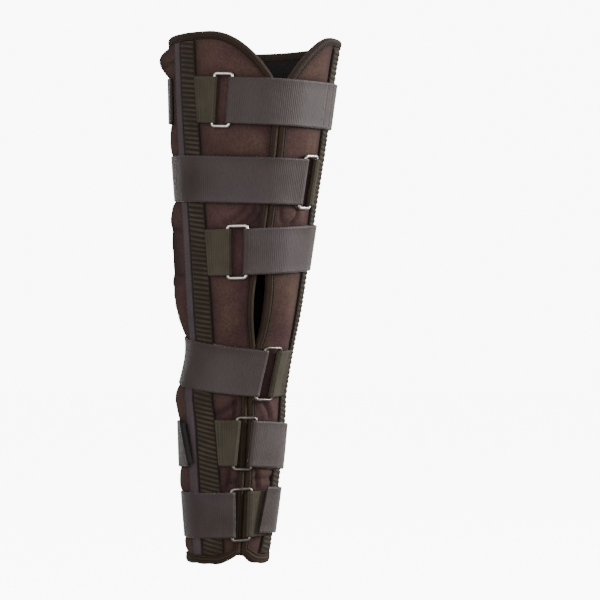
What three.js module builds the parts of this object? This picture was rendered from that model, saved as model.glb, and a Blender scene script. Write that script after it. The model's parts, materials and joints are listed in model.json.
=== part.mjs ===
// Knee immobilizer, closed and in its worn form: a padded sleeve of three panels that opens down
// the front, two ribbed stay casings over its seams with a flat tape behind each, edge bindings,
// and six webbing straps that fold round rectangular wire rings.
// Millimetres. The origin is the centre of the knee, +Z runs up the leg, the opening faces -Y.

import * as THREE from "three";

// Sizes of the sleeve
const SLEEVE_LENGTH = 543;
const KNEE_HEIGHT = 259;
const THIGH_WIDTH = 178;
const ANKLE_WIDTH = 83;
const DEPTH_RATIO = 1.03;
const LEG_LEAN = 28.3;
const CALF_SET_BACK = 8;
const PANEL_THICKNESS = 6;
const PANEL_SEAM = 0.4;
const PUFF_RISE = 3;

// Widths of the front panels, from the opening to the middle of each casing, and how late
// or early each widens on its way up
const LEFT_PANEL_TOP = 110;
const LEFT_PANEL_BOTTOM = 29;
const LEFT_PANEL_FLARE = 1.22;
const RIGHT_PANEL_TOP = 87;
const RIGHT_PANEL_BOTTOM = 30;
const RIGHT_PANEL_FLARE = 0.65;

// The front opening and the rims
const FRONT_GAP = 0.4;
const KNEE_OPENING_WIDTH = 12.5;
const KNEE_OPENING_MARGIN = 4;
const TOP_OPENING_WIDTH = 11;
const OPENING_DRIFT = 5;
const DRIFT_START = 0.6;
const DRIFT_END = 0.8;
const TOP_NOTCH_DEPTH = 60;
const TOP_NOTCH_SHARE = 0.78;
const TOP_SIDE_DROP = 6;
const TOP_BACK_DROP = 10;
const BOTTOM_NOTCH_DEPTH = 13;
const BOTTOM_NOTCH_REACH = 30;

// Bindings, casings and tapes
const BINDING_THICKNESS = 1;
const BINDING_CLEARANCE = 0.5;
const BINDING_LIP = 8;
const CASING_WIDTH = 23;
const CASING_THICKNESS = 3;
const TAPE_WIDTH = 15;
const TAPE_THICKNESS = 1;
const TRIM_GAP = 0.5;

// Straps, tabs and rings
const STRAP_WIDTH = 47;
const STRAP_THICKNESS = 1.6;
const TAB_REACH = 37;
const RING_WIDTH = 21.5;
const RING_WIRE = 3.5;
const RING_PLAY = 1.2;
const RING_CORNER = 3;
const BAR_CLEARANCE = 0.3;
const SEAT_GAP = 0.5;
const LAYER_GAP = 0.6;
const HOOK_LENGTH = 20;
const HOOK_THICKNESS = 1;
const HOOK_MARGIN = 3;

// How closely the facets follow the form
const CHORD_ERROR = 0.2;
const TURN_STEPS = 6;
const WIRE_SIDES = 6;
const CORNER_STEPS = 2;
const ROW_PINCH = 3;
const GRID_PASSES = 16;
const BINDING_STEP = 6;
const BACK_COLUMNS = 20;
const LEFT_COLUMNS = 8;
const RIGHT_COLUMNS = 6;
const ROWS_ABOVE_STRAPS = 3;

// How a strap climbs onto what lies under it
const RAMP_SLOPE = 0.25;
const RAMP_PAD = 4;
const OPENING_COVER = 26;
const STAND_OFF_SLOPE = 0.4;
const RISE_REACH = 3;

// The sleeve's form at shares of its length. girth runs from the ankle's width to the thigh's,
// lean is a share of LEG_LEAN toward +X, and setBack a share of CALF_SET_BACK toward +Y.
const LEG_FORM = [
  { share: 0.0, girth: 0.0, lean: -0.411, setBack: 0.75 },
  { share: 0.16, girth: 0.178, lean: -0.314, setBack: 1.0 },
  { share: 0.276, girth: 0.255, lean: -0.239, setBack: 1.0 },
  { share: 0.317, girth: 0.276, lean: -0.249, setBack: 0.9 },
  { share: 0.4, girth: 0.26, lean: 0.0, setBack: 0.5 },
  { share: 0.478, girth: 0.397, lean: 0.048, setBack: 0.22 },
  { share: 0.59, girth: 0.53, lean: 0.137, setBack: 0.0 },
  { share: 0.68, girth: 0.638, lean: 0.217, setBack: 0.0 },
  { share: 0.78, girth: 0.77, lean: 0.318, setBack: 0.0 },
  { share: 0.92, girth: 0.903, lean: 0.478, setBack: 0.0 },
  { share: 1.0, girth: 1.0, lean: 0.607, setBack: 0.0 },
];

// The straps from the lowest up. gap is the free stretch below a strap, as a share of all the
// free stretches; rows are the panel rows in it. ring is the side that carries the ring, and
// reach its place, as a share of TAB_REACH from the casing. tilt raises the strap toward +X and
// backTilt toward +Y, as slopes. end is the angle that the outer layer reaches, in degrees from
// the front; standOff and endRise lift its free end off the sleeve and up the leg.
const STRAPS = [
  {
    name: "6", gap: 0.1034, rows: 1, ring: 1, reach: 0.916, tilt: 0.03, backTilt: -0.04,
    end: -340, standOff: 9.5, endRise: 4,
  },
  {
    name: "5", gap: 0.0996, rows: 1, ring: -1, reach: 0.732, tilt: -0.06, backTilt: -0.1,
    end: 288, standOff: 6.5, endRise: 0,
  },
  {
    name: "4", gap: 0.0966, rows: 1, ring: 1, reach: 0.862, tilt: -0.09, backTilt: 0.1,
    end: -215, standOff: 0, endRise: 0,
  },
  {
    name: "3", gap: 0.2977, rows: 3, ring: -1, reach: 0.878, tilt: 0.039, backTilt: 0.02,
    end: 185, standOff: 0, endRise: 0,
  },
  {
    name: "2", gap: 0.0927, rows: 1, ring: 1, reach: 0.511, tilt: -0.026, backTilt: 0.017,
    end: -250, standOff: 0, endRise: 0,
  },
  {
    name: "1", gap: 0.1241, rows: 2, ring: -1, reach: 0.813, tilt: -0.036, backTilt: 0.015,
    end: 268, standOff: 0, endRise: 0,
  },
];

// Places where the back panel stands out: the slack at the bend of the knee, and the turned
// fold under the top rim. Each fills the stretch from the strap below it to the strap or rim
// above it. Angles are in degrees.
const BULGES = [
  { below: "4", above: "2", angle: -127, halfAngle: 40, rise: 9 },
  { below: "1", above: "rim", angle: -114, halfAngle: 25, rise: 9 },
];
const BULGE_SKEW = 1.4;

// Each panel is cut into three pieces, under the middles of these straps
const CUT_STRAPS = ["4", "2"];
const PANEL_PIECES = ["lower", "middle", "upper"];

// The casing's section: places across it and how full it is there, as shares
const CASING_SECTION = [
  { across: -1.0, fullness: 0.3 },
  { across: -0.72, fullness: 0.88 },
  { across: 0.0, fullness: 1.0 },
  { across: 0.72, fullness: 0.88 },
  { across: 1.0, fullness: 0.3 },
];

const FINISHES = {
  velour: new THREE.MeshStandardMaterial({ color: 0x46343a, roughness: 0.95, metalness: 0 }),
  binding: new THREE.MeshStandardMaterial({ color: 0x3c3838, roughness: 0.6, metalness: 0 }),
  casing: new THREE.MeshStandardMaterial({ color: 0x3a362c, roughness: 0.8, metalness: 0 }),
  tape: new THREE.MeshStandardMaterial({ color: 0x555054, roughness: 0.5, metalness: 0 }),
  webbing: new THREE.MeshStandardMaterial({ color: 0x4b4644, roughness: 0.85, metalness: 0 }),
  tab: new THREE.MeshStandardMaterial({ color: 0x46443a, roughness: 0.85, metalness: 0 }),
  hook: new THREE.MeshStandardMaterial({ color: 0x262424, roughness: 0.9, metalness: 0 }),
  wire: new THREE.MeshStandardMaterial({ color: 0xb0aca6, roughness: 0.35, metalness: 1 }),
};

const { lerp, clamp, degToRad, smoothstep } = THREE.MathUtils;
const object = new THREE.Group();

// Form of the sleeve

function sampleTable(table, column, share) {
  let row = 0;
  while (row < table.length - 2 && share > table[row + 1].share) row += 1;
  const slopeAt = (index) => {
    const before = table[Math.max(index - 1, 0)];
    const after = table[Math.min(index + 1, table.length - 1)];
    return (after[column] - before[column]) / (after.share - before.share);
  };
  const start = table[row];
  const end = table[row + 1];
  const span = end.share - start.share;
  const t = (share - start.share) / span;
  if (t < 0 || t > 1) return lerp(start[column], end[column], t);
  const rising = t * t * (3 - 2 * t);
  const startPull = t * (1 - t) * (1 - t) * span * slopeAt(row);
  const endPull = t * t * (1 - t) * span * slopeAt(row + 1);
  return lerp(start[column], end[column], rising) + startPull - endPull;
}

function shareAt(height) {
  return (height + KNEE_HEIGHT) / SLEEVE_LENGTH;
}

function formAt(height) {
  const share = shareAt(height);
  const girth = sampleTable(LEG_FORM, "girth", share);
  const halfWidth = lerp(ANKLE_WIDTH, THIGH_WIDTH, girth) / 2;
  return {
    halfWidth,
    halfDepth: halfWidth * DEPTH_RATIO,
    lean: LEG_LEAN * sampleTable(LEG_FORM, "lean", share),
    setBack: CALF_SET_BACK * sampleTable(LEG_FORM, "setBack", share),
  };
}

function radiusAt(height) {
  const form = formAt(height);
  return (form.halfWidth + form.halfDepth) / 2;
}

// A point of the sleeve's outer face, or `lift` outside it. Angles run from the front toward +X.
function surfacePoint(angle, height, lift) {
  const form = formAt(height);
  return new THREE.Vector3(
    form.lean + (form.halfWidth + lift) * Math.sin(angle),
    form.setBack - (form.halfDepth + lift) * Math.cos(angle),
    height,
  );
}

function nearAngle(angle) {
  return angle - 2 * Math.PI * Math.round(angle / (2 * Math.PI));
}

function casingAngle(side, height) {
  const share = clamp(shareAt(height), 0, 1);
  const width =
    side < 0
      ? lerp(LEFT_PANEL_BOTTOM, LEFT_PANEL_TOP, share ** LEFT_PANEL_FLARE)
      : lerp(RIGHT_PANEL_BOTTOM, RIGHT_PANEL_TOP, share ** RIGHT_PANEL_FLARE);
  return (side * width) / radiusAt(height);
}

// The angle of a line that runs beside a casing, `offset` behind its middle
function besideCasing(side, height, offset) {
  return casingAngle(side, height) + (side * offset) / radiusAt(height);
}

// The middle of the opening drifts toward +X on its way up the thigh
function openingAngle(height) {
  const drift = OPENING_DRIFT * smoothstep(shareAt(height), DRIFT_START, DRIFT_END);
  return drift / radiusAt(height);
}

function fromOpening(angle, height) {
  return nearAngle(angle - openingAngle(height)) * radiusAt(height);
}

function topRim(angle) {
  const turned = nearAngle(angle);
  const top = SLEEVE_LENGTH - KNEE_HEIGHT;
  const panelWidth = turned < 0 ? LEFT_PANEL_TOP : RIGHT_PANEL_TOP;
  const arc = Math.abs(fromOpening(angle, top));
  const notch = Math.max(0, 1 - arc / (TOP_NOTCH_SHARE * panelWidth));
  const sideDrop = (TOP_SIDE_DROP * (1 + Math.sin(turned))) / 2;
  const backDrop = TOP_BACK_DROP * Math.sin(turned / 2) ** 4;
  return top - sideDrop - backDrop - TOP_NOTCH_DEPTH * notch ** 2;
}

function bottomRim(angle) {
  const arc = Math.abs(fromOpening(angle, -KNEE_HEIGHT));
  const notch = Math.max(0, 1 - arc / BOTTOM_NOTCH_REACH);
  return BOTTOM_NOTCH_DEPTH * notch ** 2 - KNEE_HEIGHT;
}

// Places of the straps

const freeLength = SLEEVE_LENGTH - STRAPS.length * STRAP_WIDTH;
let strapFoot = -KNEE_HEIGHT;
for (const strap of STRAPS) {
  strap.centre = strapFoot + strap.gap * freeLength + STRAP_WIDTH / 2;
  strapFoot = strap.centre + STRAP_WIDTH / 2;
}

function strapHeight(strap, angle) {
  const form = formAt(strap.centre);
  const right = strap.tilt * form.halfWidth * Math.sin(angle);
  const back = strap.backTilt * form.halfDepth * (1 - Math.cos(angle));
  return strap.centre + right + back;
}

function strapNamed(name) {
  return STRAPS.find((strap) => strap.name === name);
}

// Half the width of the opening: a lens at the knee, between straps 4 and 3, and a gap that
// widens behind strap 1 toward the top notch
function openingHalfWidth(height) {
  const below = strapNamed("4");
  const above = strapNamed("3");
  const low = below.centre + STRAP_WIDTH / 2 + KNEE_OPENING_MARGIN;
  const high = above.centre + KNEE_OPENING_MARGIN;
  const t = (2 * height - low - high) / (high - low);
  const lens = (KNEE_OPENING_WIDTH / 2) * Math.max(0, 1 - t * t);
  const climb = (height - strapNamed("1").centre) / STRAP_WIDTH + 0.5;
  return FRONT_GAP / 2 + lens + (TOP_OPENING_WIDTH / 2) * Math.max(0, climb) ** 2;
}

function openingEdgeAngle(side, height) {
  const inset = openingHalfWidth(height) + BINDING_THICKNESS + BINDING_CLEARANCE;
  return openingAngle(height) + (side * inset) / radiusAt(height);
}

// Closed bodies, lofted through sections that each have an outer and an inner edge

function addSolid(name, finish, sections, looped = false) {
  const perEdge = sections[0].outer.length;
  const perSection = perEdge * 2;
  const points = sections.flatMap(({ outer, inner }) => [...outer, ...inner.toReversed()]);
  const faces = [];
  const quad = (a, b, c, d) => faces.push([a, b, c], [a, c, d]);
  const spans = looped ? sections.length : sections.length - 1;
  for (let span = 0; span < spans; span += 1) {
    const here = span * perSection;
    const there = ((span + 1) % sections.length) * perSection;
    for (let side = 0; side < perSection; side += 1) {
      const next = (side + 1) % perSection;
      quad(here + side, here + next, there + next, there + side);
    }
  }
  const last = spans * perSection;
  for (let edge = 0; !looped && edge < perEdge - 1; edge += 1) {
    const across = perSection - 1 - edge;
    quad(edge, across, across - 1, edge + 1);
    quad(last + edge, last + edge + 1, last + across - 1, last + across);
  }
  const volume = faces.reduce((sum, [a, b, c]) => {
    const normal = new THREE.Vector3().crossVectors(points[b], points[c]);
    return sum + points[a].dot(normal);
  }, 0);
  const turned = volume < 0 ? faces.map(([a, b, c]) => [a, c, b]) : faces;
  const geometry = new THREE.BufferGeometry().setFromPoints(points);
  geometry.setIndex(turned.flat());
  geometry.computeVertexNormals();
  const mesh = new THREE.Mesh(geometry, FINISHES[finish]);
  mesh.name = name;
  object.add(mesh);
}

// Panels

function between(low, high, count) {
  const places = [];
  for (let index = 1; index <= count; index += 1) {
    places.push(lerp(low, high, index / (count + 1)));
  }
  return places;
}

// Heights of the panel rows at one angle: the rims, the inner edges of the bindings on them,
// the edges of each strap and the rows between
function rowHeights(angle) {
  const lip = BINDING_LIP + 2 * TRIM_GAP;
  const lowest = bottomRim(angle) + lip;
  const highest = topRim(angle) - lip;
  const heights = [lowest];
  for (const strap of STRAPS) {
    const low = strapHeight(strap, angle) - STRAP_WIDTH / 2;
    heights.push(...between(heights.at(-1), low, strap.rows), low, low + STRAP_WIDTH);
  }
  heights.push(...between(heights.at(-1), highest, ROWS_ABOVE_STRAPS), highest);
  const last = heights.length - 1;
  const pinched = heights.map((height, row) =>
    clamp(height, lowest + row * ROW_PINCH, highest - (last - row) * ROW_PINCH),
  );
  return [lowest - lip, ...pinched, highest + lip];
}

const ROW_COUNT = rowHeights(0).length;

// Grid places of a panel's column whose angle changes with height
function gridColumn(angleAt) {
  const column = [];
  for (let row = 0; row < ROW_COUNT; row += 1) {
    let height = rowHeights(angleAt(0))[row];
    for (let pass = 0; pass < GRID_PASSES; pass += 1) {
      height = (height + rowHeights(angleAt(height))[row]) / 2;
    }
    column.push({ angle: angleAt(height), height });
  }
  return column;
}

function panelGrid(columns, startAt, endAt) {
  const grid = [];
  for (let column = 0; column <= columns; column += 1) {
    grid.push(gridColumn((height) => lerp(startAt(height), endAt(height), column / columns)));
  }
  return grid;
}

const FULL_TURN = 2 * Math.PI;
const backRightEdge = (height) => besideCasing(1, height, PANEL_SEAM / 2);
const backLeftEdge = (height) => besideCasing(-1, height, PANEL_SEAM / 2) + FULL_TURN;
const backMiddle = () => Math.PI;
const rightHalf = panelGrid(BACK_COLUMNS / 2, backRightEdge, backMiddle);
const leftHalf = panelGrid(BACK_COLUMNS / 2, backMiddle, backLeftEdge);
const frontGrid = (side, columns) =>
  panelGrid(
    columns,
    (height) => besideCasing(side, height, -PANEL_SEAM / 2),
    (height) => openingEdgeAngle(side, height),
  );
const leftFront = frontGrid(-1, LEFT_COLUMNS);
const rightFront = frontGrid(1, RIGHT_COLUMNS);

// How far the back panel stands out at its bulges
function bulgeRise(angle, height) {
  let rise = 0;
  for (const bulge of BULGES) {
    const low = strapHeight(strapNamed(bulge.below), angle) + STRAP_WIDTH / 2;
    const high =
      bulge.above === "rim"
        ? topRim(angle) - BINDING_LIP - 2 * TRIM_GAP
        : strapHeight(strapNamed(bulge.above), angle) - STRAP_WIDTH / 2;
    const up = clamp((height - low) / (high - low), 0, 1) ** BULGE_SKEW;
    const round = nearAngle(angle - degToRad(bulge.angle)) / degToRad(bulge.halfAngle);
    const fade = Math.cos((clamp(round, -1, 1) * Math.PI) / 2) ** 2;
    rise += bulge.rise * Math.sqrt(Math.max(0, Math.sin(up * Math.PI))) * fade;
  }
  return rise;
}

// How far the padding puffs out between the straps, away from seams, rims and opening
function puffRise(angle, height) {
  const turned = nearAngle(angle);
  const radius = radiusAt(height);
  const clearOf = (distance, reach) => clamp((distance - reach) / STRAP_WIDTH, 0, 1);
  let room = clearOf(Math.abs(fromOpening(angle, height)), BINDING_LIP + RAMP_PAD);
  for (const side of [-1, 1]) {
    const behind = side * nearAngle(turned - casingAngle(side, height)) * radius;
    const reach = behind > 0 ? CASING_WIDTH / 2 + TAPE_WIDTH + RAMP_PAD : CASING_WIDTH / 2;
    room *= Math.min(1, 2 * clearOf(Math.abs(behind), reach));
  }
  const clearOfRim = (rim) => {
    const probe = 1 / radius;
    const slope = (rim(angle + probe) - rim(angle - probe)) / 2;
    return (BINDING_LIP + RAMP_PAD) * Math.hypot(1, slope);
  };
  const highest = topRim(angle) - clearOfRim(topRim);
  let floor = bottomRim(angle) + clearOfRim(bottomRim);
  let puff = 0;
  for (const strap of [...STRAPS, null]) {
    const centre = strap ? strapHeight(strap, angle) : 0;
    const ceiling = strap ? centre - STRAP_WIDTH / 2 : highest;
    const t = (height - floor) / (ceiling - floor);
    const fullness = Math.min(1, (ceiling - floor) / STRAP_WIDTH);
    if (ceiling > floor) puff = Math.max(puff, 4 * t * (1 - t) * fullness);
    floor = centre + STRAP_WIDTH / 2;
  }
  return PUFF_RISE * puff * room;
}

// Row of the panels' grids at the lower edge of a strap
function rowUnder(name) {
  let row = 1;
  for (const strap of STRAPS) {
    row += strap.rows + 1;
    if (strap.name === name) break;
    row += 1;
  }
  return row;
}

// A line up a panel, cut into pieces a seam apart at the middle of each cut strap
function cutLine(points) {
  const pieces = [];
  let rest = points;
  for (const name of [...CUT_STRAPS].reverse()) {
    const row = rowUnder(name);
    const share = (STRAP_WIDTH - PANEL_SEAM) / (2 * STRAP_WIDTH);
    const [low, high] = [points[row], points[row + 1]];
    pieces.unshift([high.clone().lerp(low, share), ...rest.slice(row + 1)]);
    rest = [...rest.slice(0, row + 1), low.clone().lerp(high, share)];
  }
  return [rest, ...pieces];
}

function addPanel(name, grid) {
  const sections = grid.map((column) => {
    const at = ({ angle, height }, lift) => {
      const bulge = bulgeRise(angle, height);
      return surfacePoint(angle, height, lift + bulge);
    };
    return {
      outer: column.map((place) => at(place, puffRise(place.angle, place.height))),
      inner: column.map((place) => at(place, -PANEL_THICKNESS)),
    };
  });
  PANEL_PIECES.forEach((piece, index) => {
    const cut = sections.map(({ outer, inner }) => ({
      outer: cutLine(outer)[index],
      inner: cutLine(inner)[index],
    }));
    addSolid(`${name}_${piece}`, "velour", cut);
  });
}

// Strips that run down the sleeve: the ribbed casings and the flat tapes behind them

function addStrip(name, finish, side, offset, width, thickness, profile) {
  const columns = profile.map(({ across }) =>
    gridColumn((height) => besideCasing(side, height, offset + (across * width) / 2)),
  );
  const sections = [];
  for (let row = 1; row < ROW_COUNT - 1; row += 1) {
    const face = (liftAt) =>
      columns.map((column, index) =>
        surfacePoint(column[row].angle, column[row].height, liftAt(profile[index])),
      );
    sections.push({
      outer: face(({ fullness }) => BINDING_CLEARANCE + thickness * fullness),
      inner: face(() => BINDING_CLEARANCE),
    });
  }
  addSolid(name, finish, sections);
}

const TAPE_SECTION = [-1, 0, 1].map((across) => ({ across, fullness: 1 }));
const TAPE_OFFSET = CASING_WIDTH / 2 + TRIM_GAP + TAPE_WIDTH / 2;

// Bindings: a folded tape over the rims and the edge of the opening, one for each half

function addBinding(name, side, backHalf, frontPanel) {
  const back = side < 0 ? backHalf : backHalf.toReversed();
  const columns = [...back.slice(0, -1), ...frontPanel];
  const path = columns.map((column) => column.at(-1));
  const opening = frontPanel.at(-1);
  const lowest = opening[0].height + BINDING_STEP;
  for (let row = opening.length - 2; row > 0; row -= 1) {
    const { height } = opening[row];
    if (height < path.at(-1).height - BINDING_STEP && height > lowest) path.push(opening[row]);
  }
  path.push(...columns.toReversed().map((column) => column[0]));
  const sections = path.map((place, index) => {
    const radius = radiusAt(place.height);
    const before = path[Math.max(index - 1, 0)];
    const after = path[Math.min(index + 1, path.length - 1)];
    const toward = (from, to) => {
      const turn = nearAngle(to.angle - from.angle) * radius;
      return new THREE.Vector2(turn, to.height - from.height).normalize();
    };
    const tangent = new THREE.Vector2();
    if (before !== place) tangent.add(toward(before, place));
    if (after !== place) tangent.add(toward(place, after));
    tangent.normalize();
    const inward = new THREE.Vector2(-side * tangent.y, side * tangent.x);
    const ends = index === 0 || index === path.length - 1;
    const trim = ends ? (-side * PANEL_SEAM) / 2 / radius : 0;
    const at = ([depth, lift]) =>
      surfacePoint(
        place.angle + trim + (inward.x * depth) / radius,
        place.height + inward.y * depth,
        lift,
      );
    const fold = (offset) => [
      [BINDING_LIP, offset],
      [-offset, offset],
      [-offset, -PANEL_THICKNESS - offset],
      [BINDING_LIP, -PANEL_THICKNESS - offset],
    ];
    return {
      outer: fold(BINDING_CLEARANCE + BINDING_THICKNESS).map(at),
      inner: fold(BINDING_CLEARANCE).map(at),
    };
  });
  addSolid(name, "binding", sections);
}

// Lifts of the straps over what lies under them

function bridge(distance, reach, height) {
  return height - RAMP_SLOPE * Math.max(0, Math.abs(distance) - reach);
}

function seatLift(angle, height) {
  const arc = fromOpening(angle, height);
  const bindingTop = BINDING_CLEARANCE + BINDING_THICKNESS + LAYER_GAP;
  return Math.max(SEAT_GAP, bridge(arc, OPENING_COVER, bindingTop));
}

// The lift over the casings and tapes under both edges of a line across a strap
function trimLift(line) {
  let lift = SEAT_GAP;
  const places = [line.low, line.high].flatMap((end) => [[-1, end], [1, end]]);
  for (const [side, { angle, height }] of places) {
    const radius = radiusAt(height);
    const casing = nearAngle(angle - casingAngle(side, height)) * radius;
    const casingTop = BINDING_CLEARANCE + CASING_THICKNESS + LAYER_GAP;
    const tapeTop = BINDING_CLEARANCE + TAPE_THICKNESS + LAYER_GAP;
    const tape = casing - side * TAPE_OFFSET;
    lift = Math.max(lift, bridge(casing, CASING_WIDTH / 2 + RAMP_PAD, casingTop));
    lift = Math.max(lift, bridge(tape, TAPE_WIDTH / 2 + RAMP_PAD, tapeTop));
  }
  return lift;
}

function strapSlope(strap, angle, heightAt) {
  const probe = 1 / radiusAt(strap.centre);
  return (heightAt(strap, angle + probe) - heightAt(strap, angle - probe)) / 2;
}

// A line across a strap, square to the way that the strap runs
function lineAcross(angle, height, slope, radius) {
  const end = (half) => ({ angle: angle - (slope * half) / radius, height: height + half });
  return { low: end(-STRAP_WIDTH / 2), high: end(STRAP_WIDTH / 2) };
}

function crossLine(strap, angle, heightAt = strapHeight) {
  const slope = strapSlope(strap, angle, heightAt);
  return lineAcross(angle, heightAt(strap, angle), slope, radiusAt(strap.centre));
}

function casingEdgeLine(strap, side) {
  const clear = CASING_WIDTH / 2 + TRIM_GAP;
  const centre = casingAngle(side, strap.centre);
  const { low, high } = crossLine(strap, centre);
  const end = ({ height }) => ({ angle: besideCasing(side, height, -clear), height });
  return { low: end(low), high: end(high) };
}

function mixLines(from, to, t) {
  const mix = (start, end) => ({
    angle: lerp(start.angle, end.angle, t),
    height: lerp(start.height, end.height, t),
  });
  return { low: mix(from.low, to.low), high: mix(from.high, to.high) };
}

// Two layers of webbing joined by a turn round a bar of the ring. A stop of a layer is a line
// across it and the lift of its lower face.
function foldedSections(inner, outer, bar, turnSide) {
  const sections = [];
  const face = (line, shift, lift) =>
    [line.low, line.high].map(({ angle, height }) =>
      surfacePoint(angle + shift / radiusAt(height), height, lift),
    );
  const section = (line, first, second) => ({
    outer: face(line, first.shift, first.lift),
    inner: face(line, second.shift, second.lift),
  });
  for (const { line, lift } of inner) {
    const upper = { shift: 0, lift: lift + STRAP_THICKNESS };
    sections.push(section(line, { shift: 0, lift }, upper));
  }
  const nearRadius = RING_WIRE / 2 + BAR_CLEARANCE;
  for (let step = 0; step <= TURN_STEPS; step += 1) {
    const turn = Math.PI * (step / TURN_STEPS - 0.5);
    const onTurn = (radius) => ({
      shift: turnSide * radius * Math.cos(turn),
      lift: bar.lift + radius * Math.sin(turn),
    });
    sections.push(section(bar.line, onTurn(nearRadius + STRAP_THICKNESS), onTurn(nearRadius)));
  }
  for (const { line, lift } of outer) {
    const upper = { shift: 0, lift: lift + STRAP_THICKNESS };
    sections.push(section(line, upper, { shift: 0, lift }));
  }
  return sections;
}

// What a strap's ring settles: its place, slope and lift, and the angles of its two bars
function ringPlace(strap) {
  const radius = radiusAt(strap.centre);
  const barOffset = (RING_WIDTH - RING_WIRE) / 2 / radius;
  const casingEdge = besideCasing(strap.ring, strap.centre, -CASING_WIDTH / 2);
  const angle = casingEdge - (strap.ring * strap.reach * TAB_REACH) / radius;
  const tabBar = angle + strap.ring * barOffset;
  const strapBar = angle - strap.ring * barOffset;
  const seat = Math.max(seatLift(tabBar, strap.centre), seatLift(strapBar, strap.centre));
  return {
    angle,
    height: strapHeight(strap, angle),
    slope: strapSlope(strap, angle, strapHeight),
    lift: seat + STRAP_THICKNESS + BAR_CLEARANCE + RING_WIRE / 2,
    seat,
    radius,
    casingEdge,
    tabBar,
    strapBar,
  };
}

function barLineAt(place, barAngle) {
  const across = (barAngle - place.angle) * place.radius;
  return lineAcross(barAngle, place.height + place.slope * across, place.slope, place.radius);
}

// Angle between stops that keeps a chord within CHORD_ERROR of the curve
function stopStep(radius) {
  return 2 * Math.acos(1 - CHORD_ERROR / radius);
}

function layerStops(fromLine, toLine, fromAngle, toAngle, step, liftAt) {
  const count = Math.max(1, Math.ceil(Math.abs(toAngle - fromAngle) / step));
  const stops = [];
  for (let index = 0; index < count; index += 1) {
    const t = index / count;
    stops.push({ line: mixLines(fromLine, toLine, t), lift: liftAt(lerp(fromAngle, toAngle, t)) });
  }
  return stops;
}

function addTab(strap) {
  const place = ringPlace(strap);
  const start = casingEdgeLine(strap, strap.ring);
  const startAngle = (start.low.angle + start.high.angle) / 2;
  const barLine = barLineAt(place, place.tabBar);
  const innerLift = (angle) => {
    const distance = (angle - place.tabBar) * place.radius;
    return Math.max(seatLift(angle, strap.centre), bridge(distance, 0, place.seat));
  };
  const layer = STRAP_THICKNESS + LAYER_GAP;
  const barTop = place.lift + RING_WIRE / 2 + BAR_CLEARANCE;
  const outerLift = (angle) => {
    const distance = Math.abs(angle - place.tabBar) * place.radius;
    return Math.max(innerLift(angle) + layer, barTop - STAND_OFF_SLOPE * distance);
  };
  const step = stopStep(place.radius);
  const inner = layerStops(start, barLine, startAngle, place.tabBar, step, innerLift);
  const outer = layerStops(start, barLine, startAngle, place.tabBar, step, outerLift);
  const bar = { line: barLine, lift: place.lift };
  addSolid(`tab_${strap.name}`, "tab", foldedSections(inner, outer.toReversed(), bar, -strap.ring));
}

function addStrap(strap) {
  const place = ringPlace(strap);
  const away = -strap.ring;
  const start = casingEdgeLine(strap, away);
  const startAngle = (start.low.angle + start.high.angle) / 2;
  const barLine = barLineAt(place, place.strapBar);
  const step = stopStep(place.radius);
  const endAngle = degToRad(strap.end);
  const leftOf = (angle) => away * (endAngle - angle) * place.radius;
  const innerLift = (angle) => {
    const distance = (angle - place.strapBar) * place.radius;
    return Math.max(seatLift(angle, strap.centre), bridge(distance, 0, place.seat));
  };
  const inner = layerStops(start, barLine, startAngle, place.strapBar, step, innerLift);

  const layer = STRAP_THICKNESS + LAYER_GAP;
  const barTop = place.lift + RING_WIRE / 2 + BAR_CLEARANCE;
  const outerLift = (angle, line) => {
    const fromBar = Math.abs(angle - place.strapBar) * place.radius;
    const pastStart = Math.max(0, away * (angle - startAngle)) * place.radius;
    const toEnd = leftOf(angle);
    const overLayer = innerLift(clamp(angle, -Math.abs(startAngle), Math.abs(startAngle))) + layer;
    const overTab = nearAngle(angle - (place.tabBar + place.casingEdge) / 2) * place.radius;
    const tabHalf = (Math.abs(place.tabBar - place.casingEdge) * place.radius) / 2;
    const supports = [
      trimLift(line),
      bridge(overTab, tabHalf + RAMP_PAD, place.seat + 2 * layer),
      bridge(fromBar, 0, barTop),
      overLayer - RAMP_SLOPE * Math.max(0, pastStart - RAMP_PAD),
    ];
    const patch = bridge(toEnd, HOOK_LENGTH + 2 * RAMP_PAD, HOOK_THICKNESS + LAYER_GAP);
    const flat = Math.max(...supports) + Math.max(0, patch);
    return Math.max(flat, strap.standOff - STAND_OFF_SLOPE * toEnd);
  };
  const risenHeight = (_, angle) => {
    const nearEnd = Math.max(0, 1 - leftOf(angle) / (RISE_REACH * HOOK_LENGTH));
    return strapHeight(strap, angle) + strap.endRise * nearEnd ** 2;
  };
  const stopAt = (angle) => {
    const line = crossLine(strap, angle, risenHeight);
    return { line, lift: outerLift(angle, line) };
  };
  const span = endAngle - place.strapBar;
  const count = Math.ceil(Math.abs(span) / step);
  const outer = [];
  for (let index = 1; index <= count; index += 1) {
    outer.push(stopAt(place.strapBar + (span * index) / count));
  }
  const bar = { line: barLine, lift: place.lift };
  addSolid(`strap_${strap.name}`, "webbing", foldedSections(inner, outer, bar, -away));

  const stopLength = (Math.abs(span) * place.radius) / count;
  const patchStops = outer.slice(-1 - Math.ceil(HOOK_LENGTH / stopLength));
  const patchSections = patchStops.map(({ line, lift }) => {
    const face = (faceLift) => {
      const low = surfacePoint(line.low.angle, line.low.height, faceLift);
      const high = surfacePoint(line.high.angle, line.high.height, faceLift);
      const inset = HOOK_MARGIN / STRAP_WIDTH;
      return [low.clone().lerp(high, inset), high.clone().lerp(low, inset)];
    };
    const top = lift - BAR_CLEARANCE;
    return { outer: face(top - HOOK_THICKNESS), inner: face(top) };
  });
  addSolid(`hook_patch_${strap.name}`, "hook", patchSections);
}

// Rings: round wire bent to a rectangle that bends with the sleeve

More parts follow.
